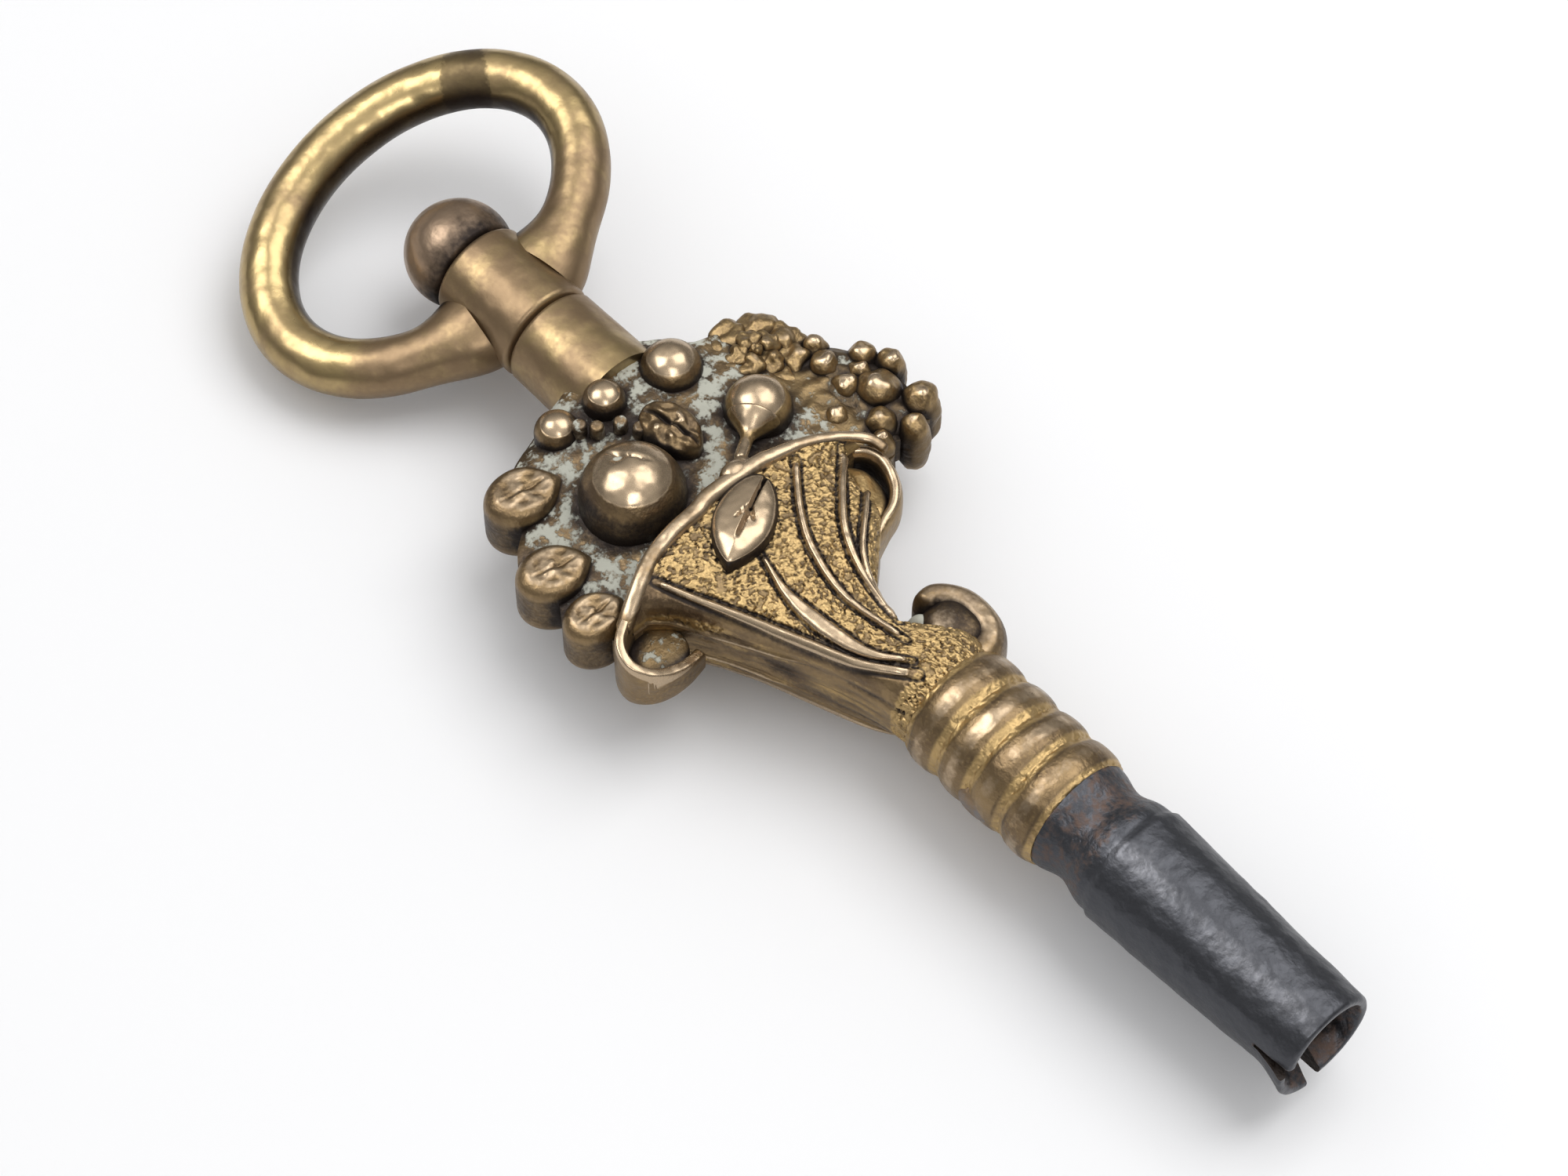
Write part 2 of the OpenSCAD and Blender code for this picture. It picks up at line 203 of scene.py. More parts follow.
class Shade:
    """A value in a material's nodes: arithmetic on it adds Math nodes, and node() adds any other node."""

    def __init__(self, tree, socket=None):
        self.tree = tree
        self.socket = socket

    def node(self, kind, settings=None, inputs=None, output=0):
        """Adds a node, sets it up, fills its sockets with values or links, and returns one of its outputs."""
        made = self.tree.nodes.new("ShaderNode" + kind)
        for name, value in (settings or {}).items():
            setattr(made, name, value)
        for name, value in (inputs or {}).items():
            if isinstance(value, Shade):
                self.tree.links.new(value.socket, made.inputs[name])
            else:
                made.inputs[name].default_value = value
        return Shade(self.tree, made.outputs[output])

    def math(self, operation, first, second=0.0):
        return self.node("Math", {"operation": operation}, {0: first, 1: second})

    def __add__(self, other):
        return self.math("ADD", self, other)

    def __radd__(self, other):
        return self.math("ADD", other, self)

    def __sub__(self, other):
        return self.math("SUBTRACT", self, other)

    def __rsub__(self, other):
        return self.math("SUBTRACT", other, self)

    def __mul__(self, other):
        return self.math("MULTIPLY", self, other)

    def __rmul__(self, other):
        return self.math("MULTIPLY", other, self)

    def most(self, other):
        return self.math("MAXIMUM", self, other)

    def step(self, low, high):
        """Goes smoothly from 0 where the value is low to 1 where it is high."""
        inputs = {"Value": self, "From Min": low, "From Max": high}
        return self.node("MapRange", {"interpolation_type": "SMOOTHSTEP"}, inputs)

    def tint(self, low, high):
        """A colour between two others, at the share that the value gives."""
        low = low if isinstance(low, Shade) else (*low, 1)
        high = high if isinstance(high, Shade) else (*high, 1)
        return self.node("Mix", {"data_type": "RGBA"}, {0: self, 6: low, 7: high}, 2)


class Finish:
    """A material under way: its shader, its place in millimetres and the marks of a casting's points."""

    def __init__(self, name):
        self.material = bpy.data.materials.new(name)
        self.material.use_nodes = True
        tree = self.material.node_tree
        tree.nodes.clear()
        self.shade = Shade(tree)
        self.shader = tree.nodes.new("ShaderNodeBsdfPrincipled")
        output = tree.nodes.new("ShaderNodeOutputMaterial")
        tree.links.new(self.shader.outputs[0], output.inputs["Surface"])
        place = self.shade.node("TexCoord", output="Object")
        self.place = self.shade.node("VectorMath", {"operation": "SCALE"}, {0: place, "Scale": 1 / MM})

    def marks(self):
        """How worn, crusted, matted and dark the casting is."""
        settings = {"attribute_name": "marks", "attribute_type": "GEOMETRY"}
        rgb = self.shade.node("Attribute", settings, output="Color")
        parts = [self.shade.node("SeparateColor", None, {0: rgb}, i) for i in range(3)]
        return parts + [self.shade.node("Attribute", settings, output="Alpha")]

    def noise(self, scale, detail, distortion=0.0):
        """Soft noise about 0.5, with the scale's number of cells to a millimetre."""
        inputs = {"Vector": self.place, "Scale": scale, "Detail": detail, "Distortion": distortion}
        return self.shade.node("TexNoise", None, inputs)

    def axis(self, index):
        """The place along one axis, in millimetres."""
        return self.shade.node("SeparateXYZ", None, {0: self.place}, index)

    def hollows(self, distance):
        """Ambient occlusion, 1 in narrow hollows and 0 on open surfaces, which the finishes paint in as
        shade.
        """
        settings = {"only_local": True, "samples": 8}
        return 1 - self.shade.node("AmbientOcclusion", settings, {"Distance": distance * MM}, "AO")

    def set(self, **sockets):
        """Fills the shader's sockets, named in words joined by underscores."""
        for name, value in sockets.items():
            socket = self.shader.inputs[name.replace("_", " ").title()]
            if isinstance(value, Shade):
                self.shade.tree.links.new(value.socket, socket)
            else:
                socket.default_value = value

    def roughen(self, height, depth):
        """Bumps the surface by a height from 0 to 1 that stands for a depth in millimetres."""
        normal = self.shade.node("Bump", None, {"Height": height, "Distance": depth * MM}, "Normal")
        self.set(normal=normal)


def colours():
    """The colours that a user has chosen."""
    return bpy.context.scene.winding_key_colours


def gilt_brass(name):
    """Struck brass: gilt punched ground, brown film, high spots worn bare, pale crust in the corners."""
    look = Finish(name)
    worn, crust, gilding, dark = look.marks()
    cloud = look.noise(0.9, 4.0)
    grain = look.noise(8.0, 3.0)
    specks = look.noise(2.2, 4.0)
    dents = look.noise(1.7, 1.0)
    hollow = look.hollows(0.6)
    film = (cloud + 0.35 * grain).step(0.42, 0.9)
    body = film.tint(colours().tawny, colours().film)
    gilt = (gilding + 0.7 * (grain - 0.5) + 0.4 * (cloud - 0.5)).step(0.2, 0.75)
    body = gilt.tint(body, colours().gold)
    uneven = 0.5 * (cloud - 0.5) + 0.4 * (grain - 0.5)
    # Patina and painted shade: the dark mark and ambient occlusion darken the colour to the patina colour.
    corner = (hollow * (1.5 - 0.8 * gilding) + dark * 0.9 + uneven).step(0.3, 0.95)
    body = corner.tint(body, colours().brown)
    rubbed = (worn + 0.35 * (grain - 0.5) + 0.5 * (specks - 0.5)).step(0.3, 0.75)
    body = rubbed.tint(body, colours().bare)
    crusted = (crust + 1.3 * (specks - 0.5) + 0.5 * (grain - 0.5) - 0.5 * hollow).step(0.44, 0.6)
    body = crusted.tint(body, colours().crust)
    look.set(base_color=body)
    look.set(metallic=(1 - crusted) * (0.9 - 0.3 * corner))
    look.set(roughness=0.33 - 0.13 * rubbed + 0.12 * corner + 0.45 * crusted + 0.14 * grain)
    look.roughen(0.8 * dents + 0.3 * grain * (1 - rubbed) + 0.6 * crusted * specks, 0.07)
    return look.material


# Middle of the dark patch on the bow's wire, in millimetres
SEAM = (-42.1, 4.15, 1.2)


def aged_brass(name):
    """Smooth olive-cast brass with fine dents, toning and dirt where fingers don't reach, and painted shade.
    """
    look = Finish(name)
    dark = look.marks()[3]
    cloud = look.noise(0.55, 5.0, 0.6)
    grain = look.noise(5.0, 4.0)
    dents = look.noise(1.0, 1.0)
    along = look.axis(0)
    collar = along.step(-38.2, -36.4) * (1 - along.step(-33.9, -33.2) * 0.4)
    toned = (cloud + 0.3 * grain + 0.34 * collar - 0.1).step(0.42, 0.95)
    body = toned.tint(colours().brass, colours().toning)
    # Painted shade: ambient occlusion darkens the hollows to the patina colour.
    hollow = look.hollows(0.5)
    body = (hollow * 1.2).step(0.25, 0.9).tint(body, colours().brown)
    from_seam = look.shade.node("VectorMath", {"operation": "DISTANCE"}, {0: look.place, 1: SEAM}, "Value")
    seam = (from_seam + 0.3 * (grain - 0.5)).step(1.2, 1.08)
    body = (seam * (0.4 + 0.5 * cloud)).tint(body, colours().brown)
    # Painted shade on the lower inner side of the bow's wire.
    body = (dark * (0.8 + 0.3 * cloud)).tint(body, colours().brown)
    look.set(base_color=body)
    look.set(metallic=0.95 - 0.15 * toned)
    look.set(roughness=0.24 + 0.12 * toned + 0.1 * grain + 0.15 * seam)
    look.roughen(dents + 0.08 * grain, 0.09)
    return look.material


def button_metal(name):
    """Reddish metal, worn smooth, with a darker foot."""
    look = Finish(name)
    cloud = look.noise(0.8, 4.0)
    grain = look.noise(6.0, 3.0)
    foot = look.axis(0).step(-38.2, -37.1)
    toned = (cloud + 0.25 * grain + 0.4 * foot - 0.15).step(0.4, 1.0)
    look.set(base_color=toned.tint(colours().copper, colours().brown))
    look.set(metallic=0.9 - 0.2 * toned)
    look.set(roughness=0.3 + 0.2 * toned + 0.08 * grain)
    look.roughen(look.noise(1.0, 1.0) + 0.1 * grain, 0.1)
    return look.material


def dark_steel(name):
    """Oxidised steel: rubbed bright in patches along the barrel, with a painted highlight there too;
    rusty in the groove and in the socket.
    """
    look = Finish(name)
    worn, _, rust, dark = look.marks()
    cloud = look.noise(0.8, 5.0)
    grain = look.noise(4.5, 5.0)
    pits = look.noise(9.0, 3.0)
    # Rubbing at the lip, and a painted highlight along the barrel.
    rubbed = (worn + 0.7 * (grain - 0.5) + 0.6 * (cloud - 0.5)).step(0.15, 1.0)
    body = rubbed.tint(colours().steel, colours().worn_and_sheen_steel)
    rusty = (rust + 1.6 * (grain - 0.5) + 0.8 * (cloud - 0.5)).step(0.35, 0.95)
    body = (rusty * 0.75).tint(body, colours().rust)
    # Painted shade deep in the socket.
    body = dark.tint(body, colours().brown)
    look.set(base_color=body)
    look.set(metallic=0.9 - 0.4 * rusty)
    look.set(roughness=0.34 + 0.2 * rusty + 0.12 * pits - 0.06 * rubbed)
    look.roughen(look.noise(1.5, 1.5) + 0.12 * pits + 0.5 * rust * grain, 0.09)
    return look.material


def grey_steel(name):
    """Dull grey steel with a fine grain."""
    look = Finish(name)
    cloud = look.noise(1.5, 4.0)
    grain = look.noise(8.0, 3.0)
    shade = (cloud + 0.4 * grain).step(0.35, 0.95)
    look.set(base_color=shade.tint(colours().grey_steel, colours().toning))
    look.set(metallic=0.8, roughness=0.42 + 0.15 * grain)
    look.roughen(grain, 0.03)
    return look.material


def soft_solder(name):
    """Soft grey solder, cloudy and dull."""
    look = Finish(name)
    cloud = look.noise(1.2, 5.0)
    look.set(base_color=cloud.step(0.3, 0.8).tint(colours().solder, colours().grey_steel))
    look.set(metallic=0.7, roughness=0.5 + 0.2 * cloud)
    look.roughen(cloud, 0.05)
    return look.material


FINISHES = {make.__name__: make for make in
            (gilt_brass, aged_brass, button_metal, dark_steel, grey_steel, soft_solder)}


def finish_of(slot):
    """The material of a slot, made at its first use."""
    name = slot.replace("_", " ")
    return bpy.data.materials.get(name) or FINISHES[slot](name)


# Shapes in numbers

def smooth(t):
    """Eases from 0 to 1 as t goes from 0 to 1."""
    t = np.clip(t, 0, 1)
    return t * t * (3 - 2 * t)


def bump(d, width):
    """1 where d is 0, falling smoothly to 0 where d reaches the width."""
    return np.cos(np.clip(np.abs(d) / width, 0, 1) * math.pi / 2) ** 2


def signed_power(value, power):
    return np.sign(value) * np.abs(value) ** power


def ripple(points, scale, shift=0.0):
    """Soft noise from -1 to 1 at points in millimetres."""
    return np.array([noise.noise(Vector(point)) for point in np.asarray(points) * scale + shift])


def worms(points, scale):
    """Raised winding threads, from 0 to 1, as a matting punch leaves them."""
    bent = points + 0.12 * np.stack([ripple(points, 2 * scale, shift) for shift in (3.0, 17.0, 31.0)], axis=1)
    return 1 - smooth(np.abs(ripple(bent, scale)) * 2.1)


def travelled(line):
    """Length along a line at each of its points."""
    return np.concatenate([[0], np.cumsum(np.linalg.norm(np.diff(line, axis=0), axis=1))])


def evenly(line, measure, count):
    """Points of a line at even steps of a measure that grows along it."""
    even = np.linspace(0, measure[-1], count)
    return np.stack([np.interp(even, measure, values) for values in line.T], axis=1)


def flowing(points, count):
    """Even points on a smooth line through the given ones."""
    p = np.array(points, dtype=float)
    p = np.vstack([2 * p[0] - p[1], p, 2 * p[-1] - p[-2]])
    t = np.linspace(0, 1, 24, endpoint=False)[:, None]
    parts = []
    for a, b, c, d in zip(p, p[1:], p[2:], p[3:]):
        square, cube = 2 * a - 5 * b + 4 * c - d, 3 * b - a - 3 * c + d
        parts.append(0.5 * (2 * b + (c - a) * t + square * t ** 2 + cube * t ** 3))
    line = np.vstack(parts + [p[-2]])
    return evenly(line, travelled(line), count)


def away(points, line):
    """Distance of flat points from a smooth line, and the share along it of the nearest place."""
    line = flowing(line, 40)
    best = np.full(len(points), np.inf)
    share = np.zeros(len(points))
    for i, (a, b) in enumerate(zip(line, line[1:])):
        t = np.clip((points - a) @ (b - a) / np.dot(b - a, b - a), 0, 1)
        d = np.linalg.norm(points - a - t[:, None] * (b - a), axis=1)
        nearer = d < best
        best[nearer] = d[nearer]
        share[nearer] = ((i + t) / (len(line) - 1))[nearer]
    return best, share


def capped(level, spread, amount=1.0):
    """A mark that is full above a level and gone below it."""
    return lambda q: amount * smooth((q[:, 2] - level) / spread)


def shade_and_patina_below(level, spread=0.5, amount=0.9):
    """A dark mark, full below a level and gone above it: patina, with painted shade on the lower sides."""
    return lambda q: amount * smooth((level - q[:, 2]) / spread)


def drum(way):
    """A ball whose lower half goes straight down."""
    flat = np.maximum(np.hypot(way[:, 0], way[:, 1]), 1e-3)
    spread = np.where(way[:, 2] < 0, np.where(flat > 2e-3, 1 / flat, 1), 1)
    return way * np.column_stack([spread, spread, np.ones(len(way))])


def crumpled(shift, amount):
    """A drum with shallow folds, which a shift varies."""
    return lambda way: drum(way) * (1 + amount * ripple(way, 1.7, shift))[:, None]


def folds(along, across, scale):
    """Soft noise on a pad, by its own two directions."""
    return ripple(np.column_stack([along, across, 0 * along]), scale)


# Points this close are one, and edges this short are nothing, in millimetres
SAME_PLACE = 0.0005
NO_LENGTH = 0.0002
# Edges that turn more than this look sharp
SHARP_ANGLE = math.radians(55)


class Casting:
    """A mesh under way, in millimetres, whose points carry how worn, crusted, matted and dark they are."""

    def __init__(self):
        self.mesh = bmesh.new()
        self.layer = self.mesh.verts.layers.float_color.new("marks")

    def put(self, verts, points, worn=0.0, crust=0.0, matting=0.0, dark=0.0):
        """Moves vertices to points and gives them their marks, each a value or a function of the points."""
        marks = [mark(points) if callable(mark) else mark for mark in (worn, crust, matting, dark)]
        marks = np.stack([np.broadcast_to(mark, len(verts)) for mark in marks], axis=1)
        for vert, point, mark in zip(verts, points, np.clip(marks, 0, 1)):
            vert.co = point
            vert[self.layer] = mark

    def grid(self, columns, rows):
        """A flat grid of cells, with the share across and up of each of its vertices."""
        verts = bmesh.ops.create_grid(self.mesh, x_segments=columns, y_segments=rows, size=0.5)["verts"]
        flat = np.array([vert.co for vert in verts]) + 0.5
        return verts, flat[:, 0], flat[:, 1]

    def globe(self, steps):
        """A closed globe of cells, with the direction of each of its vertices from its middle."""
        verts, u, v = self.grid(2 * steps, steps)
        turn, tilt = 2 * math.pi * u, math.pi * v
        flat = np.sin(tilt)
        return verts, np.column_stack([flat * np.cos(turn), flat * np.sin(turn), np.cos(tilt)])

    def sweep(self, path, half_width, half_height, up=(0, 0, 1), squareness=2.0, round_end=0.2, sides=48,
              **marks):
        """A bar along a path, with a section from round (2) to square (more), and rounded closed ends."""
        count = len(path)
        verts, u, v = self.grid(count - 1, sides)
        at = np.rint(u * (count - 1)).astype(int)
        across = np.cross(np.array(up), np.gradient(path, axis=0))
        across /= np.linalg.norm(across, axis=1)[:, None]
        run = np.linspace(0, travelled(path)[-1], count)
        from_end = np.minimum(run, run[::-1]) / round_end
        closing = np.sqrt(1 - (1 - np.clip(from_end, 0, 1)) ** 2)
        wide = np.broadcast_to(half_width, count) * closing
        high = np.broadcast_to(half_height, count) * closing
        turn = 2 * math.pi * v
        side = wide[at] * signed_power(np.cos(turn), 2 / squareness)
        rise = high[at] * signed_power(np.sin(turn), 2 / squareness)
        self.put(verts, path[at] + across[at] * side[:, None] + np.array(up) * rise[:, None], **marks)

    def lump(self, centre, sizes, shape=None, steps=24, **marks):
        """A ball of one half size or three, whose unit directions a shape may change first."""
        verts, way = self.globe(steps)
        body = shape(way) if shape else way
        self.put(verts, np.array(centre) + body * np.array(sizes), **marks)

    def pad(self, start, end, half_width, top, bottom=0.0, tip=1.0, relief=None, squareness=4.0, steps=44,
            **marks):
        """A leaf-shaped pad with steep sides, from a round start to an end that the tip sharpens."""
        start, end = np.array(start, dtype=float), np.array(end, dtype=float)
        middle, along = (start + end) / 2, (end - start) / 2
        across = half_width * np.array([-along[1], along[0]]) / np.linalg.norm(along)
        verts, way = self.globe(steps)
        upper = way[:, 2] > 0
        flat = np.clip(np.hypot(way[:, 0], way[:, 1]), 1e-6, 1)
        down = np.arccos(flat) * 2 / math.pi
        spread = np.where(upper, 1, np.minimum(1, 2 - 2 * down) / flat)
        lengthwise = way[:, 0] * spread
        narrowing = np.where(lengthwise > 0, np.maximum(1 - lengthwise ** 2, 0) ** ((tip - 1) / 2), 1)
        sidewise = way[:, 1] * spread * narrowing
        crown = np.maximum(1 - flat ** squareness, 0) ** (1 / squareness)
        shoulder = bottom + 0.35 * (top - bottom)
        roof = shoulder + (top - shoulder) * crown
        wall = shoulder - (shoulder - bottom) * np.minimum(1, 2 * down)
        flat_points = middle + lengthwise[:, None] * along + sidewise[:, None] * across
        points = np.column_stack([flat_points, np.where(upper, roof, wall)])
        if relief:
            points[:, 2] += relief(lengthwise, sidewise) * upper * smooth((crown - 0.4) / 0.5)
        self.put(verts, points, **marks)

    def turned(self, profile, steps=128):
        """A body spun round the key's axis, from a line of [place along X, radius]."""
        verts = [self.mesh.verts.new((x, 0, r)) for x, r in profile]
        edges = [self.mesh.edges.new(pair) for pair in zip(verts, verts[1:])]
        bmesh.ops.spin(self.mesh, geom=verts + edges, cent=(0, 0, 0), axis=(1, 0, 0), angle=2 * math.pi,
                       steps=steps, use_merge=True)
        self.weld()

    def weld(self):
        """Joins the points that share a place."""
        bmesh.ops.remove_doubles(self.mesh, verts=self.mesh.verts, dist=SAME_PLACE)

    def dent(self, share, scale, beyond=0.0):
        """Dents a turned body by a share of its radius, beyond the radius of its bore."""
        p = self.points()
        radius = np.hypot(p[:, 1], p[:, 2])
        p[:, 1:] *= np.where(radius > beyond, 1 + share * ripple(p, scale), 1)[:, None]
        self.put(self.mesh.verts, p)

    def points(self):
        return np.array([vert.co for vert in self.mesh.verts])

    def open_edges(self):
        return [edge for edge in self.mesh.edges if edge.is_boundary]

    def close_below(self):
        """Walls a relief down to the parting plane and closes it there."""
        made = bmesh.ops.extrude_edge_only(self.mesh, edges=self.open_edges())["geom"]
        for vert in (part for part in made if isinstance(part, bmesh.types.BMVert)):
            vert.co.z = 0
        self.weld()
        bmesh.ops.triangle_fill(self.mesh, use_beauty=True, edges=self.open_edges())

    def close_ends(self):
        """Joins a tube along its seam and closes both of its ends."""
        self.weld()
        bmesh.ops.holes_fill(self.mesh, edges=self.open_edges(), sides=0)

    def release(self, name, slot, body="key_body", back=False):
        """Makes the object that stands for a CAD node; back turns a front half into a back half."""
        self.weld()
        copy = self.mesh.copy()
        bmesh.ops.dissolve_degenerate(copy, edges=copy.edges, dist=NO_LENGTH)
        bmesh.ops.scale(copy, vec=(MM, MM, -MM if back else MM), verts=copy.verts)
        bmesh.ops.recalc_face_normals(copy, faces=copy.faces)
        data = bpy.data.meshes.new(name)
        copy.to_mesh(data)
        copy.free()
        return dress(data, name, slot, body)


def dress(data, name, slot, body):
    """Puts a finished mesh into the scene in place of the CAD node of the same name."""
    data.polygons.foreach_set("use_smooth", [True] * len(data.polygons))
    data.set_sharp_from_angle(angle=SHARP_ANGLE)
    data.materials.append(finish_of(slot))
    piece = bpy.data.objects.new(name + "_look", data)
    bpy.context.scene.collection.objects.link(piece)
    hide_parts(name)
    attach(piece, body)
    return piece


# Pieces

def round_angle(points):
    """Angle round the key's axis, from the grapes' side over the front."""
    return np.arctan2(points[:, 2], points[:, 1])


SPLIT_ANGLE, TONGUE_ANGLE = math.radians(172), math.radians(85)
GROOVE_RADIUS, TANG_RADIUS, POST_RADIUS = 1.86, 1.15, 0.8


def pipe_profile(sizes):
    """The pipe's outline from its tang over the groove, the shoulder and the lip into the socket."""
    mouth, shoulder = sizes.mouth_radius / MM, sizes.shoulder_radius / MM
    shoulder_x = -sizes.shoulder_place / MM
    bell, depth = sizes.bell_radius / MM, sizes.socket_depth / MM
    hollow = []
    for s in np.linspace(0, 1, 24):
        dip = 0.2 * math.sin(math.pi * min(1, 1.12 * s)) ** 2
        rise = (shoulder - 0.1 - GROOVE_RADIUS) * smooth(s * 1.3 - 0.3)
        hollow.append((FERRULE_X + (shoulder_x - FERRULE_X) * s, GROOVE_RADIUS + rise - dip))
    barrel = [(shoulder_x * (1 - s), shoulder + (mouth - shoulder) * s) for s in np.linspace(0.02, 0.985, 60)]
    lip = [(-0.06, mouth - 0.02), (-0.015, mouth - 0.06), (0, mouth - 0.12), (0, bell + 0.04), (-0.04, bell)]
    socket = [(-depth * s, bell) for s in np.linspace(0.02, 1, 40)]
    tang = [(TANG_X, 0), (TANG_X, TANG_RADIUS), (FERRULE_X - 0.02, TANG_RADIUS)]
    return tang + hollow + barrel + lip + socket + [(-depth, 0)]


def make_pipe(sizes):
    """The steel pipe: battered barrel, square socket, and a worn mouth with a split and a bent tongue."""
    casting = Casting()
    casting.turned(pipe_profile(sizes), steps=160)
    p = casting.points()
    radius = np.hypot(p[:, 1], p[:, 2])
    angle = round_angle(p)
    bell = sizes.bell_radius / MM
    inside = (p[:, 0] > -sizes.socket_depth / MM - 0.01) & (radius < bell + 0.02)
    square = sizes.socket_half / MM / (np.abs(np.cos(angle)) ** 10 + np.abs(np.sin(angle)) ** 10) ** 0.1
    bored = bell + (square - bell) * smooth(-p[:, 0] / 0.9)
    bored_scale = np.where(radius > 0.1, bored / np.maximum(radius, 0.1), 1)
    dents = 0.025 * ripple(p, 0.7) + 0.012 * ripple(p, 2.5)
    dented_scale = 1 + dents / np.maximum(radius, 0.5)
    p[:, 1:] *= np.where(inside, bored_scale, dented_scale)[:, None]
    # Painted highlight with some rubbing: a pale band along the side of the barrel that faces the camera.
    top = bump(np.angle(np.exp(1j * (angle - math.radians(112)))), math.radians(26))
    groove = smooth((-p[:, 0] - 7.9) / 0.5)
    lip = bump(p[:, 0], 0.35) * (radius > bell)
    worn = np.where(inside, 0, np.maximum(0.45 * top * (1 - groove), 0.3 * lip))
    rust = np.where(inside, 0.6, 0.5 * groove)
    # Painted shade: the socket darkens with its depth.
    deep = np.where(inside, smooth(-p[:, 0] / 1.2), 0)
    casting.put(casting.mesh.verts, p, worn=worn, matting=rust, dark=deep)
    split_mouth(casting.release("winding_pipe", "dark_steel"), sizes)


def cut_away(piece, blades):
    """Takes the blades' mesh out of a piece."""
    cutter_mesh = bpy.data.meshes.new("split_blades")
    blades.to_mesh(cutter_mesh)
    blades.free()
    cutter = bpy.data.objects.new("split_blades", cutter_mesh)
    bpy.context.scene.collection.objects.link(cutter)
    cut = piece.modifiers.new("split", "BOOLEAN")
    cut.object = cutter
    cut.solver = "EXACT"
    ready = piece.evaluated_get(bpy.context.evaluated_depsgraph_get())
    old = piece.data
    piece.data = bpy.data.meshes.new_from_object(ready)
    piece.modifiers.clear()
    bpy.data.objects.remove(cutter)
    bpy.data.meshes.remove(cutter_mesh)
    bpy.data.meshes.remove(old)


def split_mouth(piece, sizes):
    """Cuts two splits through the mouth's wall and bends the tongue between them outwards."""
    deep, wide = sizes.split_length, sizes.split_width
    blades = bmesh.new()
    for angle, width in ((SPLIT_ANGLE, 0.6 * wide), (SPLIT_ANGLE + TONGUE_ANGLE, 1.8 * wide)):
        blade = bmesh.ops.create_cube(blades, size=1)["verts"]
        bmesh.ops.scale(blades, vec=(2 * deep, 2 * MM, width), verts=blade)
        bmesh.ops.translate(blades, vec=(0, 1.6 * MM, 0), verts=blade)
        bmesh.ops.rotate(blades, cent=(0, 0, 0), matrix=Matrix.Rotation(angle, 3, "X"), verts=blade)
    cut_away(piece, blades)
    for vert in piece.data.vertices:
        x, y, z = vert.co
        past = (math.atan2(z, y) - SPLIT_ANGLE) % (2 * math.pi)
        if x > -deep and past < TONGUE_ANGLE:
            bend = sizes.tongue_bend * (1 + x / deep) ** 1.6
            radius = math.hypot(y, z)
            vert.co.y += y / radius * bend
            vert.co.z += z / radius * bend


def make_pin(sizes):
    """The cross pin, with hammered oval ends that stand a little out of the ferrule."""
    casting = Casting()
    place = (-12.4, 0, -0.1)
    half_sizes = (0.86, sizes.crest_radius / MM + 0.03, 0.66)

    def oval(way):
        shaped = np.column_stack([way[:, 0], signed_power(way[:, 1], 0.4), way[:, 2]])
        shaped *= (1 + 0.03 * ripple(way, 1.7))[:, None]
        shaped[:, [0, 2]] /= (np.maximum(np.hypot(way[:, 0], way[:, 2]), 0.05) ** 0.55)[:, None]
        return shaped

    casting.lump(place, half_sizes, oval, steps=48)
    casting.release("pipe_pin", "grey_steel")


def make_ferrule(sizes):
    """The ribbed ferrule: rounded rings rubbed bare, with gilding left in the hollows between them."""
    casting = Casting()
    crest, hollow = sizes.crest_radius / MM, sizes.hollow_radius / MM
    profile = [(TAIL_X - 0.3, 0), (TAIL_X - 0.3, 1.2), (TAIL_X, 1.6)]
    for s in np.linspace(0, 1, 40 * sizes.rings):
        arch = abs(math.sin(math.pi * sizes.rings * s)) ** 0.75
        profile.append((TAIL_X + (FERRULE_X - TAIL_X) * s, hollow + (crest - hollow) * arch))
    inner_end = FERRULE_X - 4
    profile += [(FERRULE_X, 1.3), (FERRULE_X - 0.1, TANG_RADIUS), (inner_end, TANG_RADIUS), (inner_end, 0)]
    casting.turned(profile, steps=200)
    p = casting.points()
    radius = np.hypot(p[:, 1], p[:, 2])
    angle = round_angle(p)
    outer = radius > 1.4
    share = np.clip((p[:, 0] - TAIL_X) / (FERRULE_X - TAIL_X), 0, 1)
    height = (radius - hollow) / (crest - hollow)
    low = smooth((0.75 - height) / 0.5)
    sunk = 0.025 * low * (1 - worms(p, 3.4) * low)
    p[:, 1:] *= np.where(outer, 1 - sunk + 0.012 * ripple(p, 1.3), 1)[:, None]
    slant = 0.07 * np.sin(angle + 0.6) + 0.03 * ripple(p, 0.9)
    p[:, 0] += np.where(outer, np.sin(math.pi * share) ** 0.5 * slant, 0)
    patches = ripple(p, 0.9)
    worn = smooth((height - 0.72) / 0.28) * (0.5 + 0.3 * patches)
    gilding = smooth((0.9 - height) / 0.6) * (0.9 + 0.7 * patches)
    dark = 0.4 * bump(height - 0.6, 0.25) * (1 - patches)
    casting.put(casting.mesh.verts, p, worn=worn, matting=np.maximum(gilding, 0.25), dark=dark)
    casting.release("ferrule", "gilt_brass")


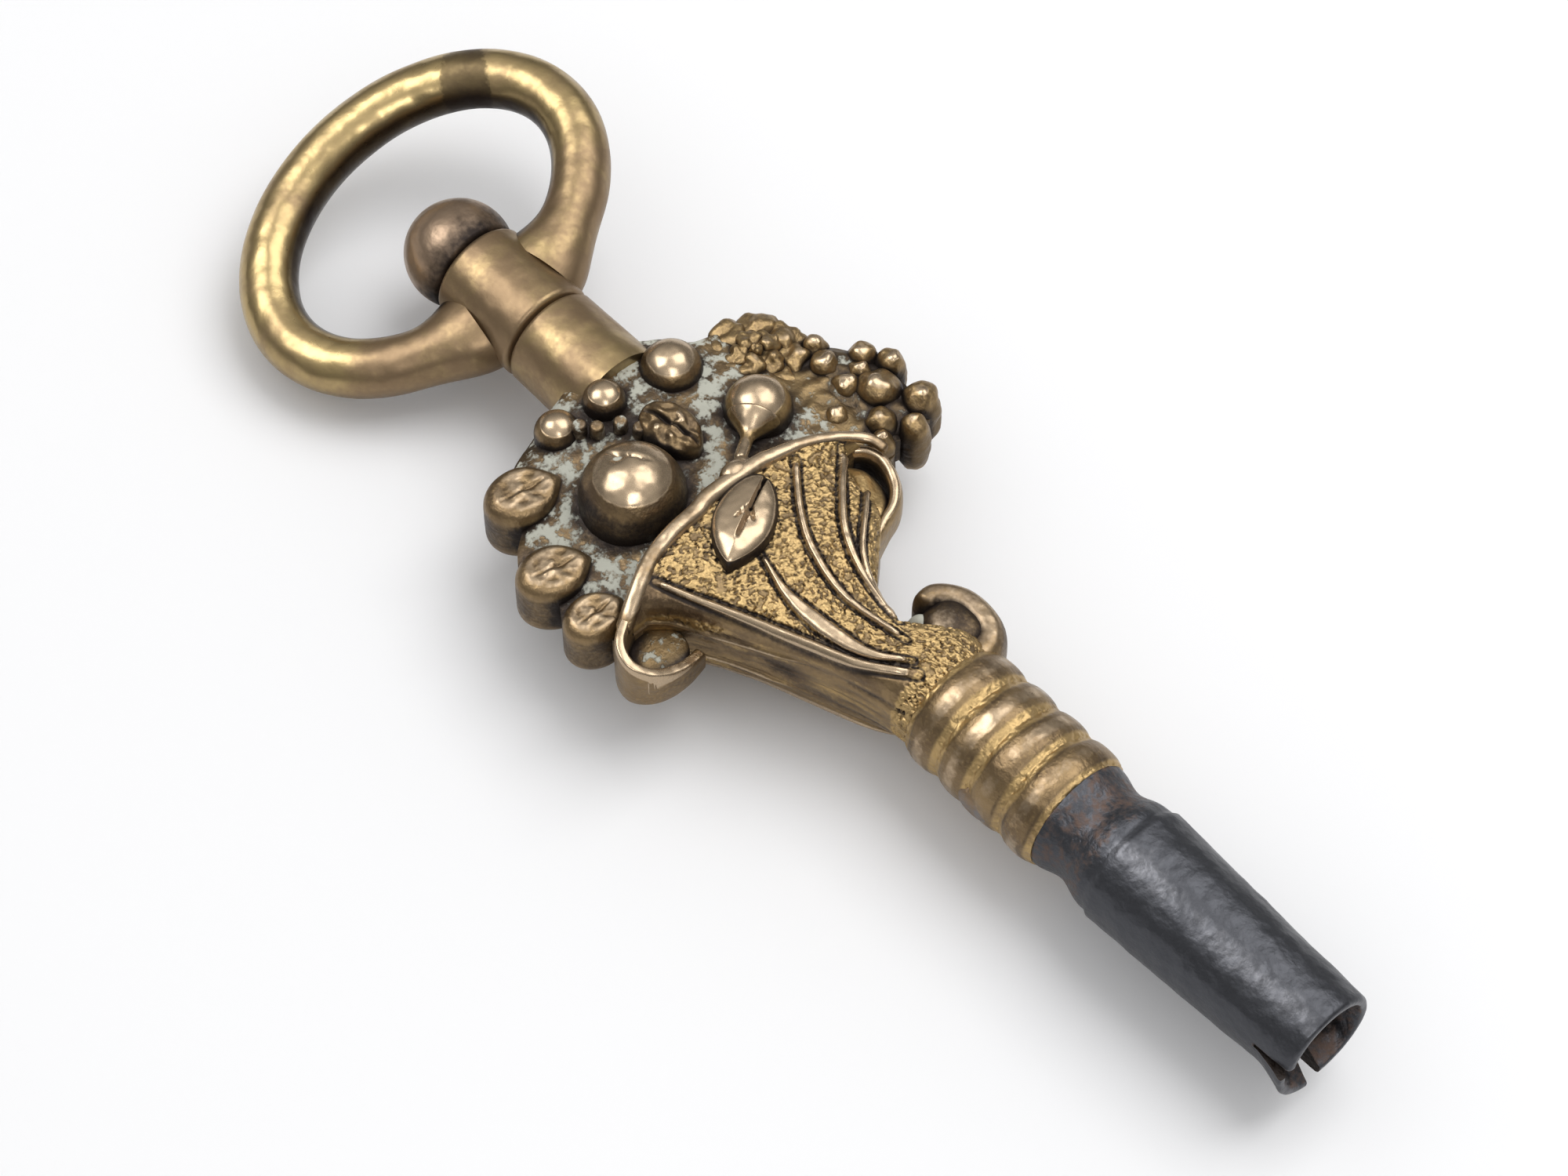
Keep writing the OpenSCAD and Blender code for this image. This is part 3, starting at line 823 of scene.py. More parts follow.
class HornForm:
    """The plain horn, in millimetres: its section at a share of the way from tail to mouth."""
    tail = 1.8  # half size at the tail
    left = 5.8  # reach at the mouth to the leaves' side
    right = 3.6  # reach at the mouth to the grapes' side
    throat = 0.15  # reach to the grapes' side where the horn is narrowest
    flare = 1.1  # part of both reaches that opens only near the mouth
    thick = 2.3  # half thickness at the mouth
    bow = 1.5  # how far the mouth's ends curve back
    crown = 0.1  # share of its height that the face loses at its sides

    def sides(self, s):
        """How far the section reaches to the leaves' side and to the grapes' side."""
        left = self.tail + (self.left - self.flare - self.tail) * smooth(0.94 * s) + self.flare * s ** 8
        right = self.throat + (self.tail - self.throat) * (1 - smooth((s - 0.04) / 0.25))
        right = right + (self.right - self.flare - self.throat) * smooth((s - 0.32) / 0.36)
        return left, right + self.flare * s ** 10

    def row(self, s, count, square):
        """Even points round half of one section, from the grapes' side to the leaves' side."""
        left, right = self.sides(s)
        angle = np.linspace(0, math.pi, 721)
        grown = float(smooth(s / 0.3))
        power = 2 + square * grown
        out = (np.abs(np.cos(angle)) ** power + np.abs(np.sin(angle)) ** power) ** (-1 / power)
        across = out * np.cos(angle)
        y = (right - left) / 2 + (right + left) / 2 * across
        half_thick = self.tail + (self.thick - self.tail) * s
        z = half_thick * out * np.sin(angle) * (1 - self.crown * grown * across ** 2)
        middle, half = (self.right - self.left) / 2, (self.left + self.right) / 2
        back = self.bow * np.minimum(1, ((y - middle) / half) ** 2)
        x = TAIL_X + (RIM_X - TAIL_X) * s + back * s ** 4
        return evenly(np.stack([x, y, z], axis=1), travelled(np.stack([y, z], axis=1)), count)

    def table(self, columns, rows, square):
        """Places and outward directions on a half's face, by column along the horn and row round it."""
        places = np.stack([self.row(s, rows + 1, square) for s in np.linspace(0, 1, columns + 1)])
        outward = np.cross(np.gradient(places, axis=1), np.gradient(places, axis=0))
        outward /= np.maximum(np.linalg.norm(outward, axis=2), 1e-9)[:, :, None]
        return places, outward * np.sign(outward[:, rows // 2, 2])[:, None, None]


# How far the exponent of each half's section rises above a round's 2
FRONT_SQUARE, BACK_SQUARE = 5.0, 1.2
LEAF_STALK, LEAF_TIP = (-24.0, 0.2), (-22.2, -2.75)
EDGE_RIB = [(-23.46, -4.5), (-21.12, -3.38), (-18.99, -2.5), (-17.32, -1.8), (-15.97, -0.85)]
# Each rib's line, with its half width at the start, in the middle and at the end
RIBS = [
    (EDGE_RIB, 0.09, 0.11, 0.12),
    ([(-22.0, -1.6), (-20.49, -1.93), (-18.93, -1.86), (-17.43, -1.49), (-16.39, -0.7)], 0.06, 0.27, 0.08),
    ([(-23.8, 1.45), (-22.49, 0.41), (-21.13, -0.33), (-19.21, -0.72), (-17.03, -0.36)], 0.11, 0.13, 0.08),
    ([(-23.3, 2.95), (-22.01, 1.7), (-20.82, 0.77), (-19.37, 0.19), (-17.65, -0.02)], 0.11, 0.13, 0.07),
    ([(-22.4, 3.1), (-21.3, 2.0), (-20.1, 0.75), (-18.9, 0.15), (-17.9, 0.08)], 0.08, 0.09, 0.06)]
SIDE_RIB = [(-24.3, 1.3), (-22.07, 0.65), (-19.69, 0.74), (-18.1, 0.95)]
RIM_LINE = [(-23.05, -6.17, 1.42), (-23.72, -4.89, 1.95), (-24.12, -3.98, 2.12), (-24.3, -3.04, 2.25),
            (-24.35, -2.09, 2.32), (-24.48, -1.31, 2.36), (-24.39, 0.4, 2.34), (-24.31, 0.92, 2.3),
            (-24.1, 2.0, 2.15), (-23.7, 2.99, 1.97), (-23.09, 3.78, 1.75), (-22.44, 3.97, 1.65)]


def horn_ribs(p, front, rib_height):
    """Height of the ribs on the horn's face, how rubbed they are, and the dark lines beside them."""
    height, rubbed, beside = np.zeros((3, len(p)))
    for line, start, middle, end in RIBS:
        d, share = away(p[:, :2], line)
        towards = start + (middle - start) * smooth(2 * share)
        beyond = end + (middle - end) * smooth(2 - 2 * share)
        width = np.where(share < 0.5, towards, beyond)
        ridge = np.clip(1 - (d / width) ** 4, 0, 1) * front * smooth(share * 20) * smooth((1 - share) * 12)
        height = np.maximum(height, rib_height * ridge)
        rubbed = np.maximum(rubbed, smooth(ridge * 1.5 - 0.2))
        beside = np.maximum(beside, bump(d - width - 0.05, 0.09) * front)
    return height, rubbed, beside * (1 - rubbed)


def horn_relief(p, sizes):
    """Height of the relief on the horn, with its worn, gilt and dark marks."""
    front = smooth((p[:, 2] - 1.0) / 0.4)
    height, worn, beside = horn_ribs(p, front, sizes.rib_height / MM)
    wall = (1 - front) * (p[:, 1] < -1)
    d, share = away(p[:, [0, 2]], SIDE_RIB)
    side_rib = bump(d, 0.13) * wall * smooth((1 - share) * 3)
    above = p[:, 2] - np.interp(p[:, 0], *np.array(SIDE_RIB).T)
    strip = wall * smooth((-20.6 - p[:, 0]) / 1.2) * smooth(above / 0.15)
    band = smooth((p[:, 0] - TAIL_X + 0.75) / 0.2)
    past_edge = p[:, 1] - np.interp(p[:, 0], *np.array(EDGE_RIB).T)
    face = front * smooth((past_edge - 0.05) / 0.15)
    punched = np.maximum.reduce([face, 0.8 * strip, band]) * (1 - worn) * (1 - side_rib)
    strokes = worms(p * (1.0, 1.0, 0.8), 4.7)
    streaks = ripple(p * (0.35, 1.0, 2.2), 1.5) * wall
    height += 0.1 * side_rib - 0.05 * beside + 0.05 * streaks + 0.01 * ripple(p, 1.3)
    height += sizes.matting_depth / MM * punched * (strokes - 0.6)
    worn = np.maximum(worn, 0.7 * side_rib)
    seam = bump(p[:, 2], 0.12) * wall
    # Dirt and painted shade in the matting's gaps; gilt raised threads, partly a painted glint.
    gaps = punched * (1 - strokes) ** 1.5
    stains = wall * (1 - side_rib) * (0.24 - 0.7 * streaks)
    dark = np.maximum.reduce([0.3 * gaps, 0.8 * beside, 0.5 * seam, stains])
    gilding = punched * (0.4 + 0.6 * strokes) * (0.9 + 0.3 * ripple(p, 0.8))
    gilding += wall * (0.25 + 0.5 * streaks)
    return height, worn, gilding, dark


def strike_horn(columns, rows, square, sizes):
    """One half of the horn, face up: its punched face with ribs, the rim's bead and the hanging leaf."""
    casting = Casting()
    places, outward = HornForm().table(columns, rows, square)
    verts, u, v = casting.grid(columns, rows + 1)
    at = (np.rint(u * columns).astype(int), np.rint(v * (rows + 1)).astype(int) % (rows + 1))
    p = places[at]
    height, worn, gilding, dark = horn_relief(p, sizes)
    p = p + outward[at] * (height * smooth(p[:, 2] / 0.12))[:, None]
    p[:, 2] = np.maximum(p[:, 2], 0)
    p[:, 0] = np.maximum(p[:, 0], RIM_X)
    casting.put(verts, p, worn=worn, matting=gilding, dark=dark)
    casting.close_ends()
    path = flowing(RIM_LINE, 200)
    half = sizes.rim_half / MM * (1 - 0.35 * smooth((np.linspace(0, 1, 200) - 0.55) / 0.3))
    casting.sweep(path, half, 0.9 * half, squareness=2.5, sides=32, dark=0.35,
                  worn=lambda q: smooth((q[:, 2] - 1.6) / 0.4) * (0.75 + 0.6 * ripple(q, 0.9)))
    hang_leaf(casting, sizes)
    return casting


def make_horn(sizes):
    """The two struck halves of the horn, of which the back is rounder."""
    front = strike_horn(columns=250, rows=310, square=FRONT_SQUARE, sizes=sizes)
    front.release("horn_front", "gilt_brass")
    back = strike_horn(columns=200, rows=250, square=BACK_SQUARE, sizes=sizes)
    back.release("horn_back", "gilt_brass", back=True)


def make_fill():
    """The soft solder in the horn, a little inside both of its halves."""
    casting = Casting()
    form = HornForm()
    verts, u, v = casting.grid(80, 48)
    s = 0.04 + 0.88 * u
    left, right = form.sides(s)
    closing = np.sqrt(1 - (2 * u - 1) ** 20)
    turn = 2 * math.pi * v
    half = (left + right) / 2 - 0.5
    thick = form.tail + (form.thick - form.tail) * s - 0.5
    x = TAIL_X + (RIM_X - TAIL_X) * s
    y = (right - left) / 2 + half * closing * signed_power(np.cos(turn), 0.8)
    z = thick * closing * signed_power(np.sin(turn), 0.8)
    casting.put(verts, np.column_stack([x, y, z]))
    casting.release("solder_fill", "soft_solder")


def hang_leaf(casting, sizes):
    """The leaf that hangs from the knot on the rim, with its midrib and two short veins."""
    top = sizes.leaf_height / MM

    def veins(along, across):
        off = across - 0.1 + 0.15 * along
        rib = bump(off, 0.1) * smooth((0.55 - along) / 0.3)
        between = smooth((along + 0.25) / 0.05) * smooth((0.12 - along) / 0.08)
        branch = bump(np.abs(off) - 0.8 * (along + 0.25), 0.08) * between
        return -0.25 * rib - 0.14 * branch - 0.12 * np.abs(off) + 0.06 * np.sin(3 * along + 1)

    casting.pad(LEAF_STALK, LEAF_TIP, 0.95, top, 1.6, tip=1.7, relief=veins, squareness=5.0, steps=60,
                worn=capped(top - 0.26, 0.08), dark=shade_and_patina_below(top - 0.14, 0.12, 1.0))
    casting.lump((-24.62, -0.28, 2.3), (0.36, 0.52, 0.34), worn=capped(2.4, 0.2, 0.7), dark=0.35)
    casting.lump((-24.75, 0.1, 2.15), (0.3, 0.36, 0.32), worn=0.4, dark=0.5)


CURL_LINE = [(-15.85, 0.9, 0), (-15.68, 1.5, 0), (-15.95, 2.1, 0), (-16.6, 2.35, 0), (-17.4, 2.3, 0),
             (-18.05, 1.8, 0), (-18.0, 1.15, 0)]


def make_curl():
    """The thick curl at the horn's tail, with a dark, crusted hollow."""

    def rubbed(level, amount, scale):
        return lambda q: smooth((np.abs(q[:, 2]) - level) / 0.25) * (amount + 0.3 * ripple(q, scale))

    casting = Casting()
    casting.sweep(flowing(CURL_LINE, 120), np.linspace(0.54, 0.46, 120), 1.15, squareness=2.8, round_end=0.35,
                  sides=40, worn=rubbed(0.8, 0.5, 0.9), dark=0.5)
    casting.lump((-16.85, 1.45, 0), (1.15, 0.95, 1.27), lambda way: signed_power(way, 0.75), steps=44,
                 worn=rubbed(0.95, 0.3, 1.1), dark=0.75)
    casting.lump((-17.6, 0.9, 0), (0.6, 0.5, 0.95), crust=0.8, dark=0.6)
    casting.release("tail_curl", "gilt_brass")


# Places along the left scroll's band, each with the heights of its upper and its lower edge
LEFT_BAND = [(-23.55, -5.2, 1.78, -0.6), (-23.1, -6.1, 1.74, -0.6), (-22.68, -6.58, 1.68, -0.58),
             (-22.1, -6.72, 1.52, -0.5), (-21.65, -6.42, 1.25, -0.45), (-21.4, -5.9, 1.0, -0.4),
             (-21.35, -5.2, 0.75, -0.35), (-21.5, -4.4, 0.5, -0.3)]


def make_left_scroll(sizes):
    """The scroll on the leaves' side, whose band comes down from the rim and rolls in."""
    casting = Casting()
    band = flowing(LEFT_BAND, 160)
    upper, lower = band[:, 2], band[:, 3]
    path = np.column_stack([band[:, :2], (upper + lower) / 2])

    def rubbed(q):
        nearest = np.abs(q[:, :1] - path[:, 0]).argmin(axis=1)
        return 0.9 * smooth((q[:, 2] - upper[nearest] + 0.3) / 0.2)

    casting.sweep(path, sizes.band_half / MM, (upper - lower) / 2, squareness=5.0, round_end=0.15, sides=72,
                  worn=rubbed, matting=0.3, dark=0.3)
    casting.pad((-23.2, -5.2), (-21.5, -5.6), 0.95, 0.45, squareness=5.0, crust=0.38, matting=0.5, dark=0.6)
    casting.release("left_scroll", "gilt_brass")


RIGHT_BAND = [(-23.5, 3.0, 0.82), (-23.05, 3.6, 0.82), (-22.4, 3.78, 0.8), (-21.6, 3.5, 0.74),
              (-21.1, 3.0, 0.68), (-20.85, 2.35, 0.64), (-20.5, 1.6, 0.62), (-20.0, 0.95, 0.62)]


def make_right_scroll(sizes):
    """The scroll on the grapes' side, with a creased lobe inside its roll."""
    casting = Casting()
    casting.sweep(flowing(RIGHT_BAND, 140), sizes.band_half / MM * 1.2, 0.68, squareness=2.6, round_end=0.3,
                  worn=capped(1.2, 0.12, 0.75), matting=0.4, dark=0.3)

    def rolled(along, across):
        waves = np.sin(5 * along + 3 * across) * np.cos(4 * across)
        crease = bump(across - 0.2 * along - 0.15, 0.2) * smooth((0.6 - along) / 0.3)
        return 0.1 * waves - 0.3 * crease

    casting.pad((-23.4, 2.75), (-20.75, 1.6), 1.15, 1.34, squareness=3.0, relief=rolled,
                matting=0.7, dark=0.35)
    casting.release("right_scroll", "gilt_brass")


LEFT_EDGE = [(-23.3, -6.0), (-24.2, -6.75), (-24.9, -6.85), (-26.0, -6.35), (-26.9, -6.75), (-27.7, -6.3),
             (-28.6, -5.35), (-29.6, -5.4), (-30.2, -4.3), (-30.6, -3.2), (-31.0, -2.3), (-31.2, -1.6)]
RIGHT_EDGE = [(-22.9, 5.3), (-23.5, 6.5), (-24.5, 6.65), (-25.4, 6.8), (-26.3, 6.2), (-27.3, 5.6),
              (-28.4, 5.2), (-29.4, 4.4), (-30.0, 2.9), (-30.8, 2.2), (-31.2, 1.6)]


def fruit_ground(casting, sizes):
    """The ground of the heap, crusted where the fruit leaves it free."""
    columns, rows = 110, 150
    verts, u, v = casting.grid(columns, rows)
    left = flowing(LEFT_EDGE, columns + 1)
    right = flowing(RIGHT_EDGE, columns + 1)
    at = np.rint(u * columns).astype(int)
    flat = left[at] + (right[at] - left[at]) * v[:, None]
    w = 2 * v - 1
    flat[:, 0] -= 1.15 * (1 - u) ** 2 * (1 - w ** 2)
    edge, crown = sizes.edge_height / MM, sizes.ground_height / MM
    z = edge + (crown - edge) * (1 - np.abs(w) ** 2.2)
    p = np.column_stack([flat, z])
    rough = smooth((1 - np.abs(w)) / 0.06)
    grape_side = smooth((p[:, 1] - 2.6) / 1.2)
    p[:, 2] += 0.07 * ripple(p, 1.1) + 0.04 * ripple(p, 3.0) + 0.12 * rough * grape_side * ripple(p, 2.2)
    crust = 0.55 * rough * (1 - 0.35 * grape_side)
    casting.put(verts, p, crust=crust, matting=0.2 + 0.3 * grape_side, dark=0.55)
    casting.close_below()


def apple(casting, sizes):
    """The apple, with its stalk's dimple and a crease that runs from it."""
    stalk = np.array([-0.42, 0.0, 0.9])
    centre = np.array([-26.58, -2.63, 1.28])
    r = sizes.apple_radius / MM
    pit = centre + stalk * r * 0.86

    def dimpled(way):
        near = np.arccos(np.clip(way @ stalk, -1, 1))
        x, y, z = way.T
        between = smooth((x + 0.75) / 0.2) * smooth((0.2 - x) / 0.3) * (z > 0)
        crease = bump(y - 0.3 - 0.5 * x, 0.07) * between
        dip = 0.2 * np.exp(-(near / 0.13) ** 2) + 0.06 * np.exp(-(near / 0.35) ** 2) + 0.05 * crease
        return drum(way) * (1 - dip + 0.014 * ripple(way, 1.6))[:, None]

    def pale_pit(q):
        return 1.2 * bump(np.linalg.norm(q - pit, axis=1), 0.3)

    casting.lump(centre, r, dimpled, steps=56, worn=capped(2.3, 0.25), dark=shade_and_patina_below(2.45, 0.6), crust=pale_pit)


def pear(casting, sizes):
    """The pear: a round end that draws in to its stalk at the rim."""
    r = sizes.pear_radius / MM
    casting.lump((-26.4, 2.3, 1.25), r, drum, steps=36, worn=capped(1.85, 0.2), dark=shade_and_patina_below(2.0), matting=0.5)
    t = np.linspace(0, 1, 70)
    path = np.array([-26.2, 2.0, 1.4]) + np.outer(t, (1.2, -1.75, 0.6))
    thick = 0.2 + 0.72 * (1 - smooth(t / 0.55))
    casting.sweep(path, thick, thick, round_end=0.25, worn=capped(1.8, 0.25), dark=shade_and_patina_below(1.9), matting=0.5)


# Middles of the berries, with their sizes as shares of the largest
BERRIES = [((-29.4, 1.42, 1.02), 1.0), ((-29.78, -0.97, 1.3), 0.68), ((-30.05, -2.65, 0.95), 0.72)]


def berries(casting, sizes):
    """Three berries by the neck."""
    for centre, share in BERRIES:
        r = share * sizes.berry_radius / MM
        level = centre[2]
        casting.lump(centre, r, drum, steps=30,
                     worn=capped(level + 0.58 * r, 0.2 * r), dark=shade_and_patina_below(level + 0.7 * r))


# Place and radius of each grape
GRAPES = [(-24.66, 5.68, 0.72), (-23.6, 6.45, 0.58), (-22.95, 5.6, 0.45), (-25.96, 6.25, 0.48),
          (-25.2, 6.7, 0.46), (-25.4, 5.05, 0.5), (-24.73, 4.05, 0.42), (-23.75, 4.95, 0.5),
          (-26.46, 5.12, 0.5), (-27.2, 5.4, 0.4), (-25.55, 5.75, 0.4), (-23.2, 4.5, 0.36)]


def grapes(casting):
    """The bunch of grapes, half sunk in a rough bed."""
    casting.pad((-27.3, 5.15), (-23.0, 5.5), 1.15, 1.0, squareness=3.0, steps=36,
                relief=lambda along, across: 0.12 * folds(along, across, 3.5),
                crust=0.4, matting=0.4, dark=0.62)
    for k, (x, y, r) in enumerate(GRAPES):
        tall = 0.3 + 0.8 * r
        level = 0.62 + 0.8 * tall
        casting.lump((x, y, 0.45), (1.12 * r, 1.12 * r, tall + 0.17), crumpled(7 * k, 0.13), steps=20,
                     worn=capped(level, 0.3 * r), dark=shade_and_patina_below(level, 0.5, 0.65), matting=0.4)


# Start, tip, half width and height of each leaf at the edge
EDGE_LEAVES = [((-29.4, -6.1), (-28.7, -3.6), 1.02, 1.26),
               ((-26.75, -7.15), (-25.95, -4.8), 0.97, 1.2),
               ((-24.5, -7.15), (-24.25, -5.05), 0.86, 1.1)]


def edge_leaves(casting):
    """Three thick leaves along the edge, with a rough sunk middle and smooth tall walls."""

    def rough(along, across):
        sunk = smooth((0.7 - np.abs(across)) / 0.4) * smooth((0.7 - np.abs(along)) / 0.4)
        uneven = folds(along, across, 2.3) + 0.6 * folds(along, across, 4.6)
        return -0.08 * sunk * (1 + 1.1 * uneven) - 0.06 * bump(across - 0.15 * along, 0.12) * sunk

    def rubbed(top):
        return lambda q: 0.55 * bump(q[:, 2] - top + 0.06, 0.1)

    for start, end, half_width, top in EDGE_LEAVES:
        casting.pad(start, end, half_width, top, tip=1.9, relief=rough, squareness=3.4,
                    worn=rubbed(top), dark=shade_and_patina_below(1.0, 0.5, 0.75), matting=0.25)


def middle_leaf(casting):
    """The rough leaf in the middle of the heap and the small square bits beside it."""

    def rough(along, across):
        return 0.16 * folds(along, across, 3.3) - 0.14 * bump(across - 0.2 * along, 0.14)

    casting.pad((-28.65, -0.35), (-26.3, -0.2), 0.82, 1.95, 0.9, tip=1.3, relief=rough, squareness=3.6,
                worn=capped(1.97, 0.06), dark=0.35, matting=0.25)
    half = 0.24
    for x, y in ((-29.45, -2.25), (-29.05, -1.9), (-28.7, -1.25), (-28.15, -0.95)):
        casting.pad((x - half, y), (x + half, y), half, 1.7, 0.8, squareness=6.0, steps=16,
                    worn=0.4, crust=0.4, dark=0.45)


# Number, distance from the middle, radius and height of the flower's lobes, ring by ring
LOBES = [(8, 1.12, 0.68, 1.0), (5, 0.5, 0.5, 1.22), (1, 0.0, 0.28, 1.34)]


def flower(casting):
    """The open flower: two rings of crumpled lobes round a small eye."""
    centre = np.array([-28.15, 3.8])
    casting.pad(centre - (1.3, 0), centre + (1.3, 0), 1.3, 0.85, crust=0.45, matting=0.4, dark=0.5)
    for count, ring, r, top in LOBES:
        for k in range(count):
            turn = 2 * math.pi * (k + 0.3 * (count == 5)) / count
            x, y = centre + ring * np.array([math.cos(turn), math.sin(turn)])
            casting.lump((x, y, top - 0.5), (r, r, 0.5), crumpled(5 * k + count, 0.34), steps=20,
                         worn=capped(top - 0.02, 0.2), dark=shade_and_patina_below(top - 0.1, 0.35, 0.45), matting=0.42)


def make_fruit(sizes):
    """The two struck halves of the heap of fruit."""
    casting = Casting()
    fruit_ground(casting, sizes)
    apple(casting, sizes)
    pear(casting, sizes)
    berries(casting, sizes)
    grapes(casting)
    edge_leaves(casting)
    middle_leaf(casting)
    flower(casting)
    casting.release("fruit_front", "gilt_brass")
    casting.release("fruit_back", "gilt_brass", back=True)


def make_neck(sizes):
    """The plain neck, a little worn in at its ends."""
    casting = Casting()
    r = sizes.neck_radius / MM
    start, end = HEAP_X + 0.9, JOINT_X
    profile = [(start, POST_RADIUS), (start, r + 0.04)]
    profile += [(start + (end + 0.1 - start) * s, r + 0.04 - 0.05 * s) for s in np.linspace(0, 1, 50)]
    profile += [(end + 0.04, r - 0.06), (end, r - 0.14), (end, POST_RADIUS), (start, POST_RADIUS)]
    casting.turned(profile)
    casting.dent(0.006, 0.9)
    casting.release("neck_sleeve", "aged_brass")


def make_button(sizes):
    """The domed button on the post's end, drawn in at its foot."""
    casting = Casting()
    r = sizes.button_radius / MM
    middle = BUTTON_END_X + r
    profile = [(middle - r * math.sin(t), r * math.cos(t)) for t in np.linspace(math.pi / 2, 0, 60)]
    profile += [(middle + (BUTTON_X - middle) * s, r - 0.18 * s ** 2) for s in np.linspace(0.05, 0.9, 16)]
    profile += [(BUTTON_X - 0.02, r - 0.24), (BUTTON_X, r - 0.32), (BUTTON_X, 0.0)]
    casting.turned(profile)
    casting.dent(0.01, 0.8)
    casting.release("stud_button", "button_metal")


def make_collar(sizes):
    """The collar that turns on the post."""
    casting = Casting()
    r, bore = sizes.neck_radius / MM, sizes.bore_radius / MM
    low, high = COLLAR_LOW_X, COLLAR_HIGH_X
    profile = [(low, bore), (low, r - 0.14), (low + 0.05, r - 0.05), (low + 0.14, r)]
    for s in np.linspace(0.02, 0.98, 40):
        profile.append((low + 0.14 + (high - low - 0.28) * s, r + 0.02 * math.sin(math.pi * s)))
    profile += [(high - 0.14, r), (high - 0.05, r - 0.05), (high, r - 0.14), (high, bore), (low, bore)]
    casting.turned(profile)
    casting.dent(0.006, 0.9, beyond=1.2)
    casting.release("swivel_collar", "aged_brass", "bow")


def make_ring(sizes):
    """The oval bow, whose wire swells into the collar and is painted with shade on its lower inner side."""
    casting = Casting()
    wire, half_w, half_l = (value / MM for value in (sizes.wire_radius, sizes.half_width, sizes.half_length))
    up = np.array([0, -math.sin(sizes.turn), math.cos(sizes.turn)])
    flat = np.array([0, math.cos(sizes.turn), math.sin(sizes.turn)])
    middle = np.array([(COLLAR_LOW_X + COLLAR_HIGH_X) / 2 - half_l, 0, 0])
    root = math.asin(1.25 / half_w)
    t = np.linspace(root, 2 * math.pi - root, 320)
    path = np.outer(half_l * np.cos(t), (1, 0, 0)) + np.outer(half_w * np.sin(t), flat) + middle
    run = travelled(path)
    swell = 1 - smooth(np.minimum(run, run[-1] - run) / 2.6)
    casting.sweep(path, wire + 0.55 * swell ** 1.6, wire + 0.2 * swell, up=up, round_end=0.05, sides=64)
    p = casting.points()
    centre = path[np.linalg.norm(p[:, None] - path, axis=2).argmin(axis=1)]
    inward = middle - centre
    inward /= np.linalg.norm(inward, axis=1)[:, None]
    # Painted shade: the wire darkens on its side towards the bow's middle and downwards.
    inner = ((p - centre) * (inward - 0.6 * up)).sum(axis=1) / wire
    dents = 0.012 * np.stack([ripple(p, 0.8, shift) for shift in (0, 9, 21)], axis=1)
    casting.put(casting.mesh.verts, p + dents, dark=smooth((inner - 0.2) / 0.5))
    casting.release("bow_ring", "aged_brass", "bow")


def dress_post():
    """The post keeps its CAD shape and gets its own steel."""
    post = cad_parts["swivel_post"]
    post.data.materials.clear()
    post.data.materials.append(finish_of("grey_steel"))


# Stage

KEY_MIDDLE = (-22 * MM, 0, 0)


def make_floor(stage):
    """A wide pale floor under the key."""
    look = Finish("pale floor")
    grain = look.noise(0.02, 2.0)
    floor = np.array(stage.floor)
    look.set(base_color=grain.step(0.2, 0.8).tint(floor * 0.99, floor), roughness=0.85)
    shape = bmesh.new()
    bmesh.ops.create_grid(shape, x_segments=1, y_segments=1, size=1.5)
    bmesh.ops.translate(shape, vec=(0, 0, FLOOR_Z * MM), verts=shape.verts)
    data = bpy.data.meshes.new("floor")
    shape.to_mesh(data)
    shape.free()
    data.materials.append(look.material)
    floor_object = bpy.data.objects.new("floor", data)
    bpy.context.scene.collection.objects.link(floor_object)


def make_lamp(name, direction, distance, size, power, lights_floor=True):
    """A soft square lamp that looks at the key's middle; without lights_floor it only shows as gloss."""
    data = bpy.data.lights.new(name, "AREA")
    data.shape = "SQUARE"
    data.size = size
    data.energy = power
    lamp = bpy.data.objects.new(name, data)
    way = Vector(direction).normalized()
    lamp.location = Vector(KEY_MIDDLE) + way * distance
    lamp.rotation_euler = way.to_track_quat("Z", "Y").to_euler()
    lamp.visible_diffuse = lights_floor
    bpy.context.scene.collection.objects.link(lamp)


def make_sky(stage):
    """A pale surround, even for its light and dark towards the horizon where metal mirrors it."""
    world = bpy.data.worlds.new("surround")
    bpy.context.scene.world = world
    world.use_nodes = True
    tree = world.node_tree
    tree.nodes.clear()
    shade = Shade(tree)
    way = shade.node("TexCoord", output="Generated")
    height = shade.node("SeparateXYZ", None, {0: way}, 2)
    even = height.step(-0.1, 0.9).tint((0.6, 0.6, 0.6), (1.0, 1.0, 1.0))
    shown = height.step(0.1, 0.95).tint((0.14, 0.14, 0.14), (0.8, 0.8, 0.8))
    rays = [shade.node("LightPath", output=f"Is {kind} Ray") for kind in ("Camera", "Glossy", "Transmission")]
    seen = rays[0].most(rays[1]).most(rays[2])
    tone = seen.tint(even, shown)
    strength = stage.sky + seen * (1 - stage.sky)
    light = shade.node("Background", None, {"Color": tone, "Strength": strength})
    output = tree.nodes.new("ShaderNodeOutputWorld")
    tree.links.new(light.socket, output.inputs["Surface"])


def make_camera(stage):
    """The camera at the angle of the photograph."""
    data = bpy.data.cameras.new("camera")
    data.lens = stage.lens
    data.sensor_width = 36
    data.sensor_fit = "HORIZONTAL"
    data.clip_start = 0.001
    camera = bpy.data.objects.new("camera", data)
    turn, rise = stage.azimuth, stage.elevation
    back = Vector((math.sin(turn) * math.cos(rise), -math.cos(turn) * math.cos(rise), math.sin(rise)))
    camera.location = stage.camera_place
    camera.rotation_euler = back.to_track_quat("Z", "Y").to_euler()
    bpy.context.scene.collection.objects.link(camera)
    bpy.context.scene.camera = camera


# Operators

class KeyOperator(bpy.types.Operator):
    """Makes one group of the key's pieces."""
    bl_options = {"REGISTER", "UNDO"}


